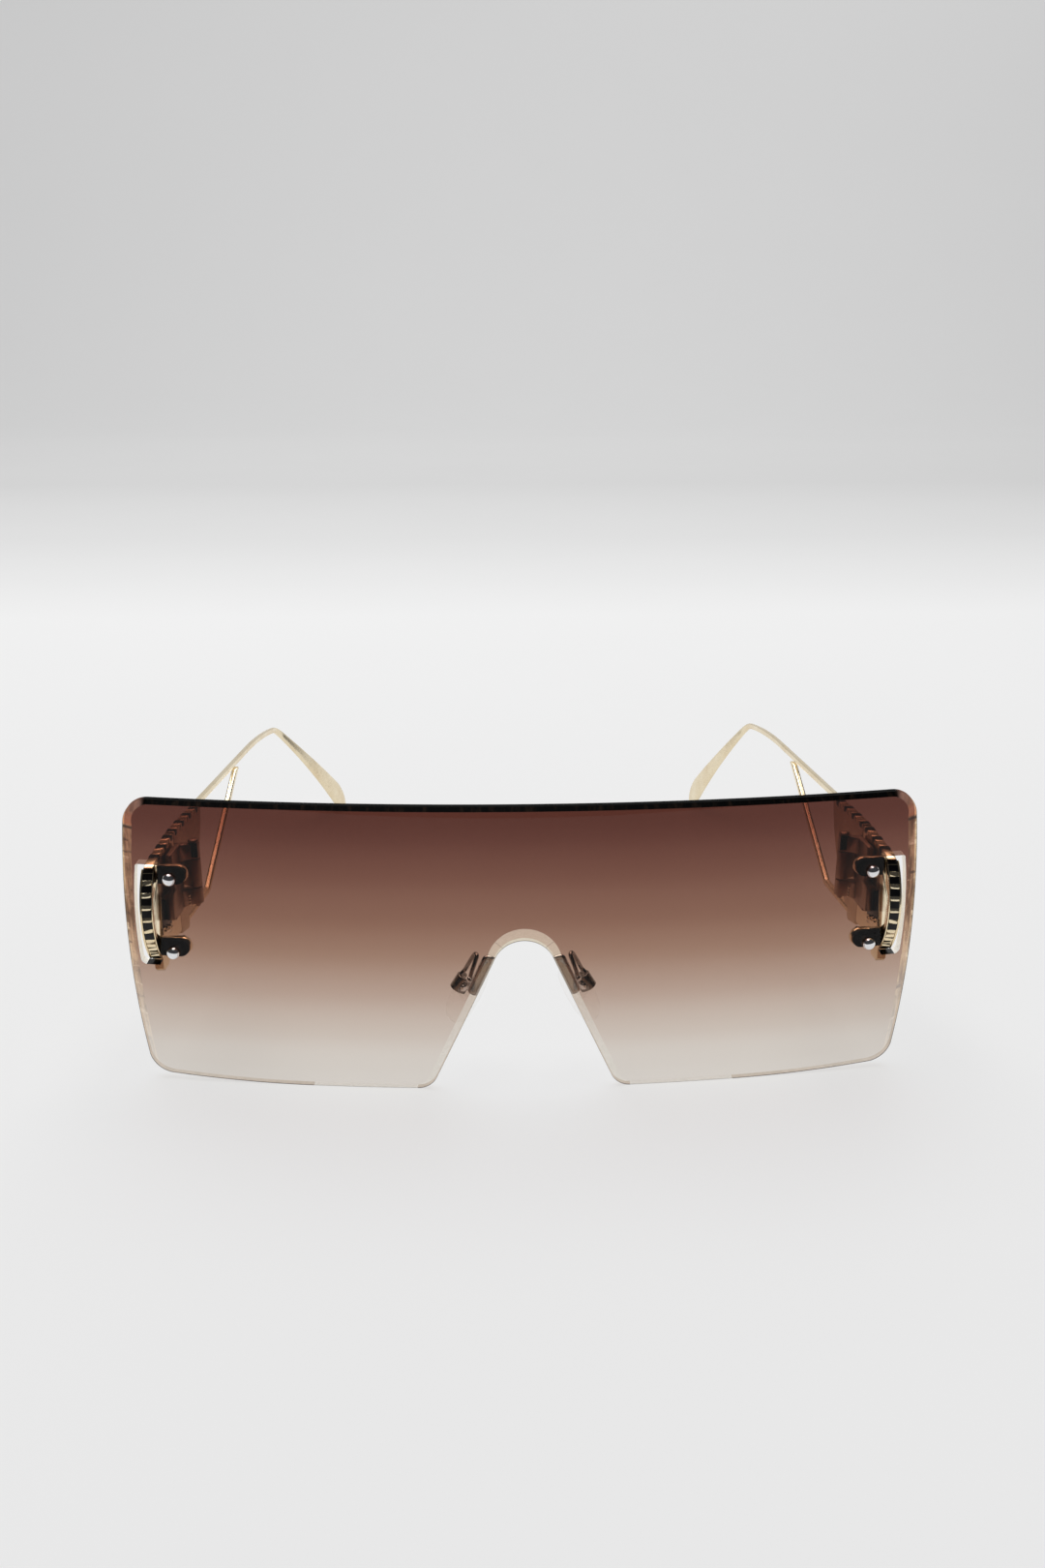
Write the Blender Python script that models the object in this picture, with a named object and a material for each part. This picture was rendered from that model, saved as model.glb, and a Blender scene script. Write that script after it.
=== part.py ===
"""Rimless shield sunglasses, open and standing on the lens edge and the two temple tips.

Metres, +Z up. X runs across the face, the lens faces -Y and the temples run to +Y.
The origin is the middle of the footprint, on the surface they stand on.
Dimensions below are in millimetres.
"""

import math

import bmesh
import bpy
from mathutils import Matrix, Vector
from mathutils.geometry import delaunay_2d_cdt

MM = 0.001
Y_CENTRE = 71.20           # from the foot of the lens to the middle of the footprint

# Lens: one cylindrical sheet with a slight crown, leaning back on its lower edge.
LEAN = math.radians(4.6)
LENS_HALF_WIDTH = 73.5
LENS_HEIGHT = 55.85
LENS_THICKNESS = 2.0
LENS_RADIUS = 422.2
LENS_CROWN = 0.8           # vertical curvature as a share of the horizontal one
LENS_MIDDLE = 26.0         # height of the crown's middle
SIDE_BOW = 0.00255
TOP_CORNER = 4.9
LOW_CORNER = 4.8
LOW_EDGE_RISE = 0.9
BEVEL_DEPTH = 0.85
BEVEL_TOP, BEVEL_SIDE, BEVEL_LOW = 0.65, 2.0, 1.4
BEVEL_ARCH, BEVEL_LEG = 2.8, 1.6
NOSE_ARCH_RADIUS, NOSE_ARCH_Z = 5.86, 24.7
NOSE_FOOT = 17.65
NOSE_CORNER = 4.0
SLOT_IN, SLOT_IN_TOP = 67.3, 66.4
SLOT_OUT, SLOT_BOW = 71.4, 0.0062
SLOT_Z = (24.35, 43.95)
HOLES = ((64.38, 41.28), (64.75, 26.95))
HOLE_RADIUS = 1.05

# End piece: plate through the slot, in the leaning frame (x, depth u, height w).
PLATE_OUT, PLATE_IN = -69.35, -67.65
PLATE_REAR = 20.55
FRONT_ARC_U, FRONT_ARC_W, FRONT_ARC_RADIUS = 14.9, 34.2, 13.0
TONGUE_FOOT = 25.3
TONGUE_END = 6.5
PLATE_FOOT = 22.0
BROW_START = (7.2, 43.95)
BROW_REAR = 44.8
TOOTH_PITCH, TOOTH_GAP, TOOTH_DEPTH = 2.35, 0.95, 0.9

# Lugs, pads and fasteners along each screw's axis, measured back from the lens front.
GASKET = (2.15, 2.85)
LUG = (3.0, 4.1)
NUT = (4.25, 5.35)
LUG_HALF = 1.8
LUG_REACH = 2.1

# Hinge: three-knuckle barrel on the inner side of the plates.
HINGE_X, HINGE_U = -64.0, 20.7
KNUCKLE_RADIUS, PIN_BORE, PIN_RADIUS = 1.15, 0.72, 0.5
KNUCKLES = ((30.4, 33.6), (33.9, 39.5), (39.8, 42.8))

# Temple, in its own frame: t along it, s inwards from its outer face, w up.
SPLAY = math.radians(2.55)
RIGHT_OPENED = math.radians(0.4)   # the right temple stands open by this much more
TEMPLE_START = 20.9
TEMPLE_THICK = 1.7
PLATE_LENGTH = 18.4
PLATE_CREST, PLATE_CREST_AT = 45.05, 8.0
TEMPLE_FOOT = 23.4
REAR_CURVE = 31.5
BAR_HEIGHT, BAR_WIDTH, BAR_MIDDLE = 1.4, 1.15, (0.15, 44.15)
EASE_AT, EASE_LENGTH, EASE_ANGLE = 64.6, 29.0, math.radians(9.2)
BEND_RADIUS, BEND_ANGLE = 9.6, math.radians(41.2)
DROP_LENGTH = (36.58, 35.49)                           # left, right
CURL_IN = (math.radians(26.5), math.radians(21.7))      # left, right
CURL_BACK = math.radians(11.7)
PADDLE_WIDTH, PADDLE_THICK = 7.2, 1.3
STRUT_WIDTH, STRUT_THICK, STRUT_INSET = 1.4, 0.9, 0.45
STRUT_BEND, STRUT_TOP_T = (21.4, 24.25), 51.5

# Nose pads.
PAD_CENTRE = (-10.6, 9.5, 15.2)
PAD_LONG = (0.52, 0.08, 0.85)
PAD_ACROSS = (-0.45, 0.89, 0.0)
PAD_HALF_LENGTH, PAD_HALF_WIDTH, PAD_THICK = 6.3, 3.5, 2.4
PIVOT_UP, PIVOT_BACK = 1.7, 2.9
ARM_WIRE, BOX_HALF = 0.42, 1.5


# ---------------------------------------------------------------- materials

def material(name, colour, roughness, metallic, alpha=1.0):
    made = bpy.data.materials.new(name)
    made.use_nodes = True
    shader = made.node_tree.nodes["Principled BSDF"]
    shader.inputs["Base Color"].default_value = (*colour, 1.0)
    shader.inputs["Roughness"].default_value = roughness
    shader.inputs["Metallic"].default_value = metallic
    shader.inputs["Alpha"].default_value = alpha
    made.diffuse_color = (*colour, alpha)
    return made


# ---------------------------------------------------------------- solids

def inside(point, loop):
    x, y = point
    hit = False
    for (x0, y0), (x1, y1) in zip(loop, loop[1:] + loop[:1]):
        if (y0 > y) != (y1 > y) and x < (x1 - x0) * (y - y0) / (y1 - y0) + x0:
            hit = not hit
    return hit


def cap_triangles(outer, holes, extra):
    """Triangles, as indices into outer + holes + extra, of a flat face with holes."""
    points, edges = [], []
    for loop in [outer] + holes:
        first = len(points)
        points += loop
        edges += [(first + i, first + (i + 1) % len(loop)) for i in range(len(loop))]
    points += extra
    out = delaunay_2d_cdt([Vector(p) for p in points], edges, [], 0, 1e-6)
    back = [ids[0] if ids else None for ids in out[3]]
    found = []
    for face in out[2]:
        middle = sum((out[0][i] for i in face), Vector((0, 0))) / len(face)
        if inside(middle, outer) and not any(inside(middle, h) for h in holes):
            found.append([back[i] for i in face])
    return found


def slab(bm, rings, place, holes=(), extra=()):
    """A closed solid from outline rings (loop, height), first to last, with holes through it.

    Each hole is (front loop, back loop). place turns (a, b, height) into a point in mm.
    """
    built = [[bm.verts.new(Vector(place(a, b, h)) * MM) for a, b in loop] for loop, h in rings]
    low, high = rings[0][1], rings[-1][1]
    fronts = [[bm.verts.new(Vector(place(a, b, low)) * MM) for a, b in f] for f, _ in holes]
    backs = [[bm.verts.new(Vector(place(a, b, high)) * MM) for a, b in k] for _, k in holes]
    for near, far in list(zip(built, built[1:])) + list(zip(fronts, backs)):
        n = len(near)
        for i in range(n):
            bm.faces.new((near[i], near[(i + 1) % n], far[(i + 1) % n], far[i]))
    for ring, ring_verts, hole_loops, hole_verts in (
        (rings[0], built[0], [f for f, _ in holes], fronts),
        (rings[-1], built[-1], [k for _, k in holes], backs),
    ):
        fill = [bm.verts.new(Vector(place(a, b, ring[1])) * MM) for a, b in extra]
        all_verts = ring_verts + [v for loop in hole_verts for v in loop] + fill
        for tri in cap_triangles(list(ring[0]), [list(h) for h in hole_loops], list(extra)):
            bm.faces.new([all_verts[i] for i in tri])
        for vert in fill:
            if not vert.link_faces:
                bm.verts.remove(vert)
    bmesh.ops.recalc_face_normals(bm, faces=bm.faces)


def inset(loop, distance):
    """The loop moved inwards (towards its own material) by a distance or a distance per point."""
    area = sum(a[0] * b[1] - b[0] * a[1] for a, b in zip(loop, loop[1:] + loop[:1]))
    turn = 1.0 if area > 0 else -1.0
    moved = []
    count = len(loop)
    for i, (x, y) in enumerate(loop):
        before, after = loop[i - 1], loop[(i + 1) % count]
        d0 = Vector((x - before[0], y - before[1])).normalized()
        d1 = Vector((after[0] - x, after[1] - y)).normalized()
        n0, n1 = Vector((-d0.y, d0.x)) * turn, Vector((-d1.y, d1.x)) * turn
        mid = (n0 + n1).normalized()
        step = distance[i] if isinstance(distance, (list, tuple)) else distance
        step /= max(0.5, mid.dot(n0))
        moved.append((x + mid.x * step, y + mid.y * step))
    return moved


def chamfered(loop, low, high, edge):
    """Rings of a plate with both its long edges chamfered."""
    small = inset(loop, edge)
    return [(small, low), (loop, low + edge), (loop, high - edge), (small, high)]


def turned(bm, profile, matrix, steps):
    """A closed body of revolution from a profile of (radius, height), on matrix's Z axis."""
    rings = []
    for radius, height in profile:
        if radius < 1e-6:
            rings.append([bm.verts.new(matrix @ (Vector((0, 0, height)) * MM))])
            continue
        turn = [2 * math.pi * i / steps for i in range(steps)]
        rings.append([
            bm.verts.new(matrix @ (Vector((radius * math.cos(a), radius * math.sin(a), height)) * MM))
            for a in turn
        ])
    for near, far in zip(rings, rings[1:]):
        for i in range(steps):
            j = (i + 1) % steps
            quad = [near[i % len(near)], near[j % len(near)], far[j % len(far)], far[i % len(far)]]
            face = list(dict.fromkeys(quad))
            if len(face) > 2:
                bm.faces.new(face)
    bmesh.ops.recalc_face_normals(bm, faces=bm.faces)


def tube_ring(bm, outer, inner, low, high, matrix, steps):
    """A plain sleeve."""
    circle = [2 * math.pi * i / steps for i in range(steps)]
    loops = []
    for radius, height in ((outer, low), (outer, high), (inner, high), (inner, low)):
        loops.append([
            bm.verts.new(matrix @ (Vector((radius * math.cos(a), radius * math.sin(a), height)) * MM))
            for a in circle
        ])
    for near, far in zip(loops, loops[1:] + loops[:1]):
        for i in range(steps):
            j = (i + 1) % steps
            bm.faces.new((near[i], near[j], far[j], far[i]))
    bmesh.ops.recalc_face_normals(bm, faces=bm.faces)


def block(bm, lows, highs, place):
    """A rectangular block between two corners, through place."""
    (x0, y0, z0), (x1, y1, z1) = lows, highs
    slab(bm, [([(x0, y0), (x1, y0), (x1, y1), (x0, y1)], z) for z in (z0, z1)], place)


def finish(bm, name, mat, parent=None, smooth=False, mirror=False):
    """Turns a bmesh in the parent's space into a named object."""
    if mirror:
        bmesh.ops.transform(bm, matrix=Matrix.Scale(-1, 4, (1, 0, 0)), verts=bm.verts)
        bmesh.ops.reverse_faces(bm, faces=bm.faces)
    mesh = bpy.data.meshes.new(name)
    bm.to_mesh(mesh)
    bm.free()
    if smooth:
        mesh.shade_smooth()
        mesh.set_sharp_from_angle(angle=math.radians(35))
    made = bpy.data.objects.new(name, mesh)
    bpy.context.scene.collection.objects.link(made)
    if mat:
        made.data.materials.append(mat)
    if parent:
        made.parent = parent
    return made


def helper(made):
    made.hide_render = True
    made.display_type = "WIRE"
    return made


def boolean(target, other, operation):
    modifier = target.modifiers.new(other.name, "BOOLEAN")
    modifier.operation = operation
    modifier.solver = "EXACT"
    modifier.object = other


def empty(name, parent=None, location=(0, 0, 0), rotation=(0, 0, 0)):
    made = bpy.data.objects.new(name, None)
    bpy.context.scene.collection.objects.link(made)
    made.empty_display_size = 0.004
    made.location = Vector(location) * MM
    made.rotation_euler = rotation
    if parent:
        made.parent = parent
    return made


def arc(centre, radius, start, end, count):
    """Points on an arc, both ends included; angles in degrees."""
    return [
        (
            centre[0] + radius * math.cos(math.radians(start + (end - start) * i / count)),
            centre[1] + radius * math.sin(math.radians(start + (end - start) * i / count)),
        )
        for i in range(count + 1)
    ]


def straight(a, b, count):
    """Points on a line, both ends included."""
    return [(a[0] + (b[0] - a[0]) * i / count, a[1] + (b[1] - a[1]) * i / count) for i in range(count + 1)]


# ---------------------------------------------------------------- lens

CURVE = 1 / (2 * LENS_RADIUS)


def lens_y(x, z):
    """Depth of the lens's front face at a point. Its widest outline, behind the bevel, foots at 0."""
    crown = LENS_CROWN * CURVE * ((z - LENS_MIDDLE) ** 2 - LENS_MIDDLE**2)
    return CURVE * x * x + math.tan(LEAN) * z + crown - BEVEL_DEPTH


def half_width(z):
    return LENS_HALF_WIDTH - SIDE_BOW * (z - 31.5) ** 2


def low_edge(x):
    return LOW_EDGE_RISE * (max(0.0, x - 40.0) / 26.0) ** 2


def lens_outline():
    """The lens's outline as (x, z) with the bevel's width at each point, clockwise from the top."""
    half = []

    def run(points, width0, width1, ease=False):
        for i, p in enumerate(points):
            if half and math.dist(half[-1][0], p) < 0.05:
                continue
            k = i / (len(points) - 1)
            k = math.sin(k * math.pi / 2) if ease else k
            half.append((p, width0 + (width1 - width0) * k))

    corner_z = LENS_HEIGHT - TOP_CORNER
    start_z = corner_z + TOP_CORNER * math.sin(math.radians(5.8))
    corner_x = half_width(start_z) - TOP_CORNER * math.cos(math.radians(5.8))
    run(straight((0, LENS_HEIGHT), (corner_x, LENS_HEIGHT), 14), BEVEL_TOP, BEVEL_TOP)
    run(arc((corner_x, corner_z), TOP_CORNER, 90, 5.8, 7), BEVEL_TOP, BEVEL_SIDE)
    foot_x = half_width(5.3) - LOW_CORNER * math.cos(math.radians(7.7))
    foot_z = low_edge(foot_x) + LOW_CORNER
    foot_start = foot_z - LOW_CORNER * math.sin(math.radians(7.7))
    sides = [start_z + (foot_start - start_z) * i / 11 for i in range(12)]
    run([(half_width(z), z) for z in sides], BEVEL_SIDE, BEVEL_SIDE - 0.3)
    run(arc((foot_x, foot_z), LOW_CORNER, -7.7, -88, 6), BEVEL_SIDE - 0.3, BEVEL_LOW)
    corner_run = NOSE_CORNER * math.tan(math.radians((90 - 24.4) / 2))
    xs = [foot_x + (NOSE_FOOT + corner_run - foot_x) * i / 11 for i in range(12)]
    run([(x, low_edge(x)) for x in xs], BEVEL_LOW, BEVEL_LOW)
    run(arc((xs[-1], NOSE_CORNER), NOSE_CORNER, 270, 204.4, 5), BEVEL_LOW, BEVEL_LEG)
    tangent = math.radians(24.4)
    arch_foot = (NOSE_ARCH_RADIUS * math.cos(tangent), NOSE_ARCH_Z + NOSE_ARCH_RADIUS * math.sin(tangent))
    run(straight(half[-1][0], arch_foot, 8), BEVEL_LEG, BEVEL_LEG)
    run(arc((0, NOSE_ARCH_Z), NOSE_ARCH_RADIUS, 24.4, 90, 8), BEVEL_LEG, BEVEL_ARCH, True)
    half[-1] = ((0.0, half[-1][0][1]), half[-1][1])
    mirrored = [((-x, z), w) for (x, z), w in half[1:-1]][::-1]
    whole = half + mirrored
    return [p for p, _ in whole], [w for _, w in whole]


def lens_hole_frame(x, z):
    """Front point and depth direction of a hole drilled square to the lens."""
    slope_x = 2 * CURVE * x
    slope_z = math.tan(LEAN) + 2 * LENS_CROWN * CURVE * (z - LENS_MIDDLE)
    depth = Vector((-slope_x, 1.0, -slope_z))
    return Vector((x, lens_y(x, z), z)), depth


def slot_outline():
    """Right slot (x, z): straight inner side, outer side that follows the lens's own side."""
    low, high = SLOT_Z
    middle = (low + high) / 2 - 2.0

    def outer(z):
        return SLOT_OUT - SLOT_BOW * (z - middle) ** 2

    loop = [(outer(low + 1.3 + (high - low - 1.9) * i / 8), low + 1.3 + (high - low - 1.9) * i / 8) for i in range(9)]
    loop += arc((loop[-1][0] - 0.5, high - 0.5), 0.5, 20, 90, 2)
    loop += arc((SLOT_IN_TOP + 0.4, high - 0.4), 0.4, 90, 180, 2)
    loop += [(SLOT_IN_TOP + (SLOT_IN - SLOT_IN_TOP) * k / 4, high - 0.4 - (high - low - 0.8) * k / 4) for k in (1, 2, 3)]
    loop += arc((SLOT_IN + 0.4, low + 0.4), 0.4, 180, 270, 2)
    loop += arc((loop[0][0] - 1.2, low + 1.2), 1.2, 270, 345, 4)
    return loop


def make_lens(mat):
    outline, widths = lens_outline()
    inner = inset(outline, widths)
    holes = []
    for side in (-1, 1):
        slot = slot_outline()
        if side < 0:
            slot = [(-x, z) for x, z in slot][::-1]
        holes.append((slot, slot))
        for x, z in HOLES:
            _, depth = lens_hole_frame(side * x, z)
            ring = arc((side * x, z), HOLE_RADIUS, 0, 360 - 22.5, 15)
            shift = (depth.x * LENS_THICKNESS, depth.z * LENS_THICKNESS)
            holes.append((ring, [(a + shift[0], b + shift[1]) for a, b in ring]))
    safe = inset(outline, 3.6)
    grid = []
    for i in range(-10, 11):
        for j in range(1, 9):
            p = (i * 6.9, j * 6.4)
            clear = all(math.dist(p, q) > 2.6 for q in outline)
            for front, back in holes:
                clear = clear and not inside(p, front) and all(math.dist(p, q) > 2.0 for q in front + back)
            if clear and inside(p, safe):
                grid.append(p)
    bm = bmesh.new()
    slab(
        bm,
        [(inner, 0.0), (outline, BEVEL_DEPTH), (outline, LENS_THICKNESS)],
        lambda x, z, h: (x, lens_y(x, z) + h - Y_CENTRE, z),
        holes,
        grid,
    )
    return finish(bm, "shield_lens", mat)


# ---------------------------------------------------------------- fasteners

def screw_frames():
    """World matrices of the four lens screws: Z runs back through the lens, Y is up."""
    frames = []
    for side in (-1, 1):
        for x, z in HOLES:
            point, depth = lens_hole_frame(side * x, z)
            back = depth.normalized()
            up = (Vector((0, 0, 1)) - back * back.z).normalized()
            across = up.cross(back)
            rot = Matrix((across, up, back)).transposed().to_4x4()
            frames.append(Matrix.Translation((point - Vector((0, Y_CENTRE, 0))) * MM) @ rot)
    return frames


def make_fasteners(mats):
    """Screw, sleeve, pad and nut at each of the four holes."""
    frames = screw_frames()
    head = [(0, -0.95), (0.55, -0.88), (0.9, -0.68), (1.12, -0.38), (1.18, -0.15)]
    shank = [(0.55, -0.15), (0.55, 5.6), (0.4, 5.8), (0, 5.8)]
    for index, frame in enumerate(frames):
        place = ("left", "right")[index // 2] + ("_upper", "_lower")[index % 2]

        def along(a, b, h, frame=frame):
            return frame @ (Vector((a, b, h)) * MM) / MM

        bm = bmesh.new()
        turned(bm, head + shank, frame, 16)
        finish(bm, place + "_mount_screw", mats["chrome"], smooth=True)
        bm = bmesh.new()
        tube_ring(bm, 0.88, 0.68, 0.05, 1.95, frame, 12)
        finish(bm, place + "_mount_sleeve", mats["sleeve"], smooth=True)
        bm = bmesh.new()
        hole = arc((0, 0), 0.7, 0, 330, 11)
        slab(bm, chamfered(arc((0, 0), 1.35, 30, 330, 5), NUT[0], NUT[1], 0.15), along, [(hole, hole)])
        finish(bm, place + "_mount_nut", mats["chrome"])
        bm = bmesh.new()
        hole = arc((0, 0), 0.75, 0, 330, 11)
        loop = lug_outline(index, -3.2, 0.05)
        slab(bm, chamfered(loop, GASKET[0], GASKET[1], 0.12), along, [(hole, hole)])
        finish(bm, place + "_mount_gasket", mats["black"], smooth=True)
    return frames


def lug_outline(index, start, smaller):
    """Capsule round a screw, in the screw's frame: from start (towards the plate) to a round tip."""
    radius = LUG_HALF - smaller
    reach = LUG_REACH - LUG_HALF
    tip = arc((reach, 0), radius, -90, 90, 8)
    root = radius - 0.4 if start < -4 else radius
    loop = [(start, -root)] + tip + [(start, root)]
    # The screw's own X axis points outwards on the left side and inwards on the right.
    return loop if index > 1 else [(-a, b) for a, b in loop]


# ---------------------------------------------------------------- end piece

def notched(path, first, last, depth=TOOTH_DEPTH, side=1):
    """The path with square notches cut in from it between two distances along it.

    path is a list of points; side is 1 where the material is on the right of the walk.
    """
    lengths = [0.0]
    for a, b in zip(path, path[1:]):
        lengths.append(lengths[-1] + math.dist(a, b))

    def at(d, sunk=0.0):
        i = max(k for k in range(len(path) - 1) if lengths[k] <= d or k == 0)
        a, b = Vector(path[i]), Vector(path[i + 1])
        along = (b - a).normalized()
        p = a + along * (d - lengths[i]) + Vector((along.y, -along.x)) * side * sunk
        return (p.x, p.y)

    count = round((last - first) / TOOTH_PITCH)
    pitch = (last - first) / count
    cuts = [first + pitch * (i + 0.5) for i in range(count)]
    loop, i = [path[0]], 1
    for middle in cuts:
        d0, d1 = middle - TOOTH_GAP / 2, middle + TOOTH_GAP / 2
        while lengths[i] < d0 - 0.3:
            if math.dist(loop[-1], path[i]) > 0.3:
                loop.append(path[i])
            i += 1
        loop += [at(d0), at(d0 + 0.05, depth), at(d1 - 0.05, depth), at(d1)]
        while i < len(path) - 1 and lengths[i] <= d1 + 0.3:
            i += 1
    return loop + [p for k, p in enumerate(path) if k >= i]


def end_piece_outline():
    """Side view (u, w): notched arc through the slot, notched brow behind the lens, foot below."""
    low = -math.degrees(math.asin((FRONT_ARC_W - TONGUE_FOOT) / FRONT_ARC_RADIUS))
    high = math.degrees(math.asin((43.2 - FRONT_ARC_W) / FRONT_ARC_RADIUS))
    front = arc((FRONT_ARC_U, FRONT_ARC_W), FRONT_ARC_RADIUS, 180 - low, 180 - high, 24)
    length = math.radians(high - low) * FRONT_ARC_RADIUS
    loop = notched(front, 1.0, length - 0.5)
    brow = straight(BROW_START, (PLATE_REAR, BROW_REAR), 12)
    loop += notched(brow, 1.5, math.dist(brow[0], brow[-1]) - 0.2)
    loop += [(PLATE_REAR, 24.4), (12.6, 24.4), (11.2, 23.4), (10.0, PLATE_FOOT)]
    loop += [(TONGUE_END + 0.8, PLATE_FOOT), (TONGUE_END, PLATE_FOOT + 0.8), (TONGUE_END, TONGUE_FOOT)]
    return loop


def make_end_piece(name, mat, lean, frames, mirror):
    bm = bmesh.new()
    slab(bm, chamfered(end_piece_outline(), PLATE_OUT, PLATE_IN, 0.12),
         lambda u, w, x: (x, u, w))
    plate = finish(bm, name, mat, lean, mirror=mirror)
    to_lean = (Matrix.Translation((0, -Y_CENTRE * MM, 0)) @ Matrix.Rotation(-LEAN, 4, "X")).inverted()
    for index, label in ((0, "upper"), (1, "lower")):
        frame = to_lean @ frames[index]
        bm = bmesh.new()
        hole = arc((0, 0), 0.75, 0, 330, 11)
        slab(bm, chamfered(lug_outline(0, -4.2, 0.0), LUG[0], LUG[1], 0.15),
             lambda a, b, h: frame @ (Vector((a, b, h)) * MM) / MM, [(hole, hole)])
        lug = helper(finish(bm, name + "_" + label + "_lug", None, lean, mirror=mirror))
        boolean(plate, lug, "UNION")
    # A shallow field sunk in the outer face, inside the notched border.
    bm = bmesh.new()
    field = [(8.6, 26.0), (18.9, 26.0), (18.9, 42.4), (8.6, 42.0)]
    slab(bm, [(field, PLATE_OUT - 0.5), (field, PLATE_OUT + 0.3)], lambda u, w, x: (x, u, w))
    boolean(plate, helper(finish(bm, name + "_field", None, lean, mirror=mirror)), "DIFFERENCE")
    return plate


# ---------------------------------------------------------------- hinge

def knuckle_arm(front):
    """Outline (x, u) about the pin: barrel and the arm that ties it to a leaf."""
    barrel = arc((0, 0), KNUCKLE_RADIUS, 205, 450, 12)
    loop = [(-3.0, 0.55)] + barrel + [(-1.3, 1.75), (-1.9, 2.7), (-3.0, 2.7)]
    return [(x, -u) for x, u in loop] if front else loop


def make_front_leaf(name, mat, lean, mirror):
    bore = arc((HINGE_X, HINGE_U), PIN_BORE, 0, 330, 11)
    pieces = []
    for low, high in (KNUCKLES[0], KNUCKLES[2]):
        bm = bmesh.new()
        loop = [(HINGE_X + x, HINGE_U + u) for x, u in knuckle_arm(True)]
        slab(bm, [(loop, low), (loop, high)], lambda a, b, h: (a, b, h), [(bore, bore)])
        pieces.append(bm)
    bm = bmesh.new()
    block(bm, (-67.35, 10.4, 30.9), (-65.9, 14.0, 35.9), lambda a, b, h: (a, b, h))
    pieces.append(bm)
    bm = bmesh.new()
    plan = [(-67.35, 13.0), (-66.2, 13.0), (-66.2, 19.6), (-66.5, 20.1), (-67.35, 20.1)]
    slab(bm, chamfered(plan, 29.8, 43.1, 0.2), lambda a, b, h: (a, b, h))
    leaf = finish(bm, name, mat, lean, mirror=mirror)
    for index, piece in enumerate(pieces):
        boolean(leaf, helper(finish(piece, name + "_part_%d" % index, None, lean, mirror=mirror)), "UNION")
    return leaf


def make_rear_leaf(name, mat, hinge, mirror):
    """In the hinge's own frame, whose origin is on the pin."""
    low, high = KNUCKLES[1]
    bore = arc((0, 0), PIN_BORE, 0, 330, 11)
    bm = bmesh.new()
    slab(bm, [(knuckle_arm(False), low), (knuckle_arm(False), high)], lambda a, b, h: (a, b, h), [(bore, bore)])
    arm = helper(finish(bm, name + "_arm", None, hinge, mirror=mirror))
    bm = bmesh.new()
    plan = [temple_point(t, s)[:2] for t, s in ((0.9, 2.0), (0.9, 2.8), (1.3, 3.1), (8.2, 3.1), (9.0, 2.5), (9.0, 2.0))]
    slab(bm, chamfered(plan, low, high, 0.15), lambda a, b, h: (a, b, h))
    leaf = finish(bm, name, mat, hinge, mirror=mirror)
    boolean(leaf, arm, "UNION")
    return leaf


def make_hinge_screw(name, mat, lean, mirror):
    bm = bmesh.new()
    low, high = KNUCKLES[0][0] - 0.9, KNUCKLES[2][1]
    profile = [(0, low), (0.3, low + 0.05), (PIN_RADIUS, low + 0.4), (PIN_RADIUS, high + 0.15),
               (1.05, high + 0.15), (1.05, high + 0.4), (0.75, high + 0.75), (0, high + 0.85)]
    turned(bm, profile, Matrix.Translation(Vector((HINGE_X, HINGE_U, 0)) * MM), 12)
    return finish(bm, name, mat, lean, smooth=True, mirror=mirror)


# ---------------------------------------------------------------- temple

def temple_point(t, s, w=0.0):
    """Temple frame to the hinge's frame."""
    x = PLATE_OUT - HINGE_X + t * math.sin(SPLAY) + s * math.cos(SPLAY)
    u = TEMPLE_START - HINGE_U + t * math.cos(SPLAY) - s * math.sin(SPLAY)
    return (x, u, w)


def rear_curve(top, foot, radius, count):
    """Shallow arc from the rear top corner (t, w) down and forward to the foot."""
    a, b = Vector(top), Vector(foot)
    half = (b - a).length / 2
    along = (b - a).normalized()
    normal = Vector((along.y, -along.x))
    centre = (a + b) / 2 + normal * math.sqrt(radius**2 - half**2)
    first = math.atan2(a.y - centre.y, a.x - centre.x)
    last = math.atan2(b.y - centre.y, b.x - centre.x)
    if last - first > math.pi:
        last -= 2 * math.pi
    if first - last > math.pi:
        last += 2 * math.pi
    return arc(centre, radius, math.degrees(first), math.degrees(last), count)


def temple_plate_outline():
    """Side view (t, w): notched along the crest, a curved rear edge that swings forward to the foot."""
    crest = []
    for i in range(13):
        t = (PLATE_LENGTH - 0.4) * i / 12
        crest.append((t, PLATE_CREST - 0.004 * (t - PLATE_CREST_AT) ** 2))
    length = sum(math.dist(a, b) for a, b in zip(crest, crest[1:]))
    loop = [(0.0, TEMPLE_FOOT + 0.2)] + notched(crest, 0.3, length - 0.9)
    bar_low = BAR_MIDDLE[1] - BAR_HEIGHT / 2
    loop += [(PLATE_LENGTH, crest[-1][1] - 0.3), (PLATE_LENGTH, bar_low)]
    loop += rear_curve((PLATE_LENGTH - 0.1, bar_low - 0.4), (6.5, 25.4), REAR_CURVE, 10)
    loop += [(5.2, 25.4), (5.2, TEMPLE_FOOT), (4.3, TEMPLE_FOOT - 0.6)]
    return loop


def make_temple_plate(name, mat, hinge, mirror):
    bm = bmesh.new()
    slab(bm, chamfered(temple_plate_outline(), 0.0, TEMPLE_THICK, 0.12),
         lambda t, w, s: temple_point(t, s, w))
    plate = finish(bm, name, mat, hinge, mirror=mirror)
    bm = bmesh.new()
    field = [(1.4, 42.6), (15.2, 42.6)] + rear_curve((15.0, 41.0), (6.0, 28.6), REAR_CURVE, 6) + [(1.4, 27.0)]
    slab(bm, [(field, -0.5), (field, 0.3)], lambda t, w, s: temple_point(t, s, w))
    boolean(plate, helper(finish(bm, name + "_field", None, hinge, mirror=mirror)), "DIFFERENCE")
    return plate


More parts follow.
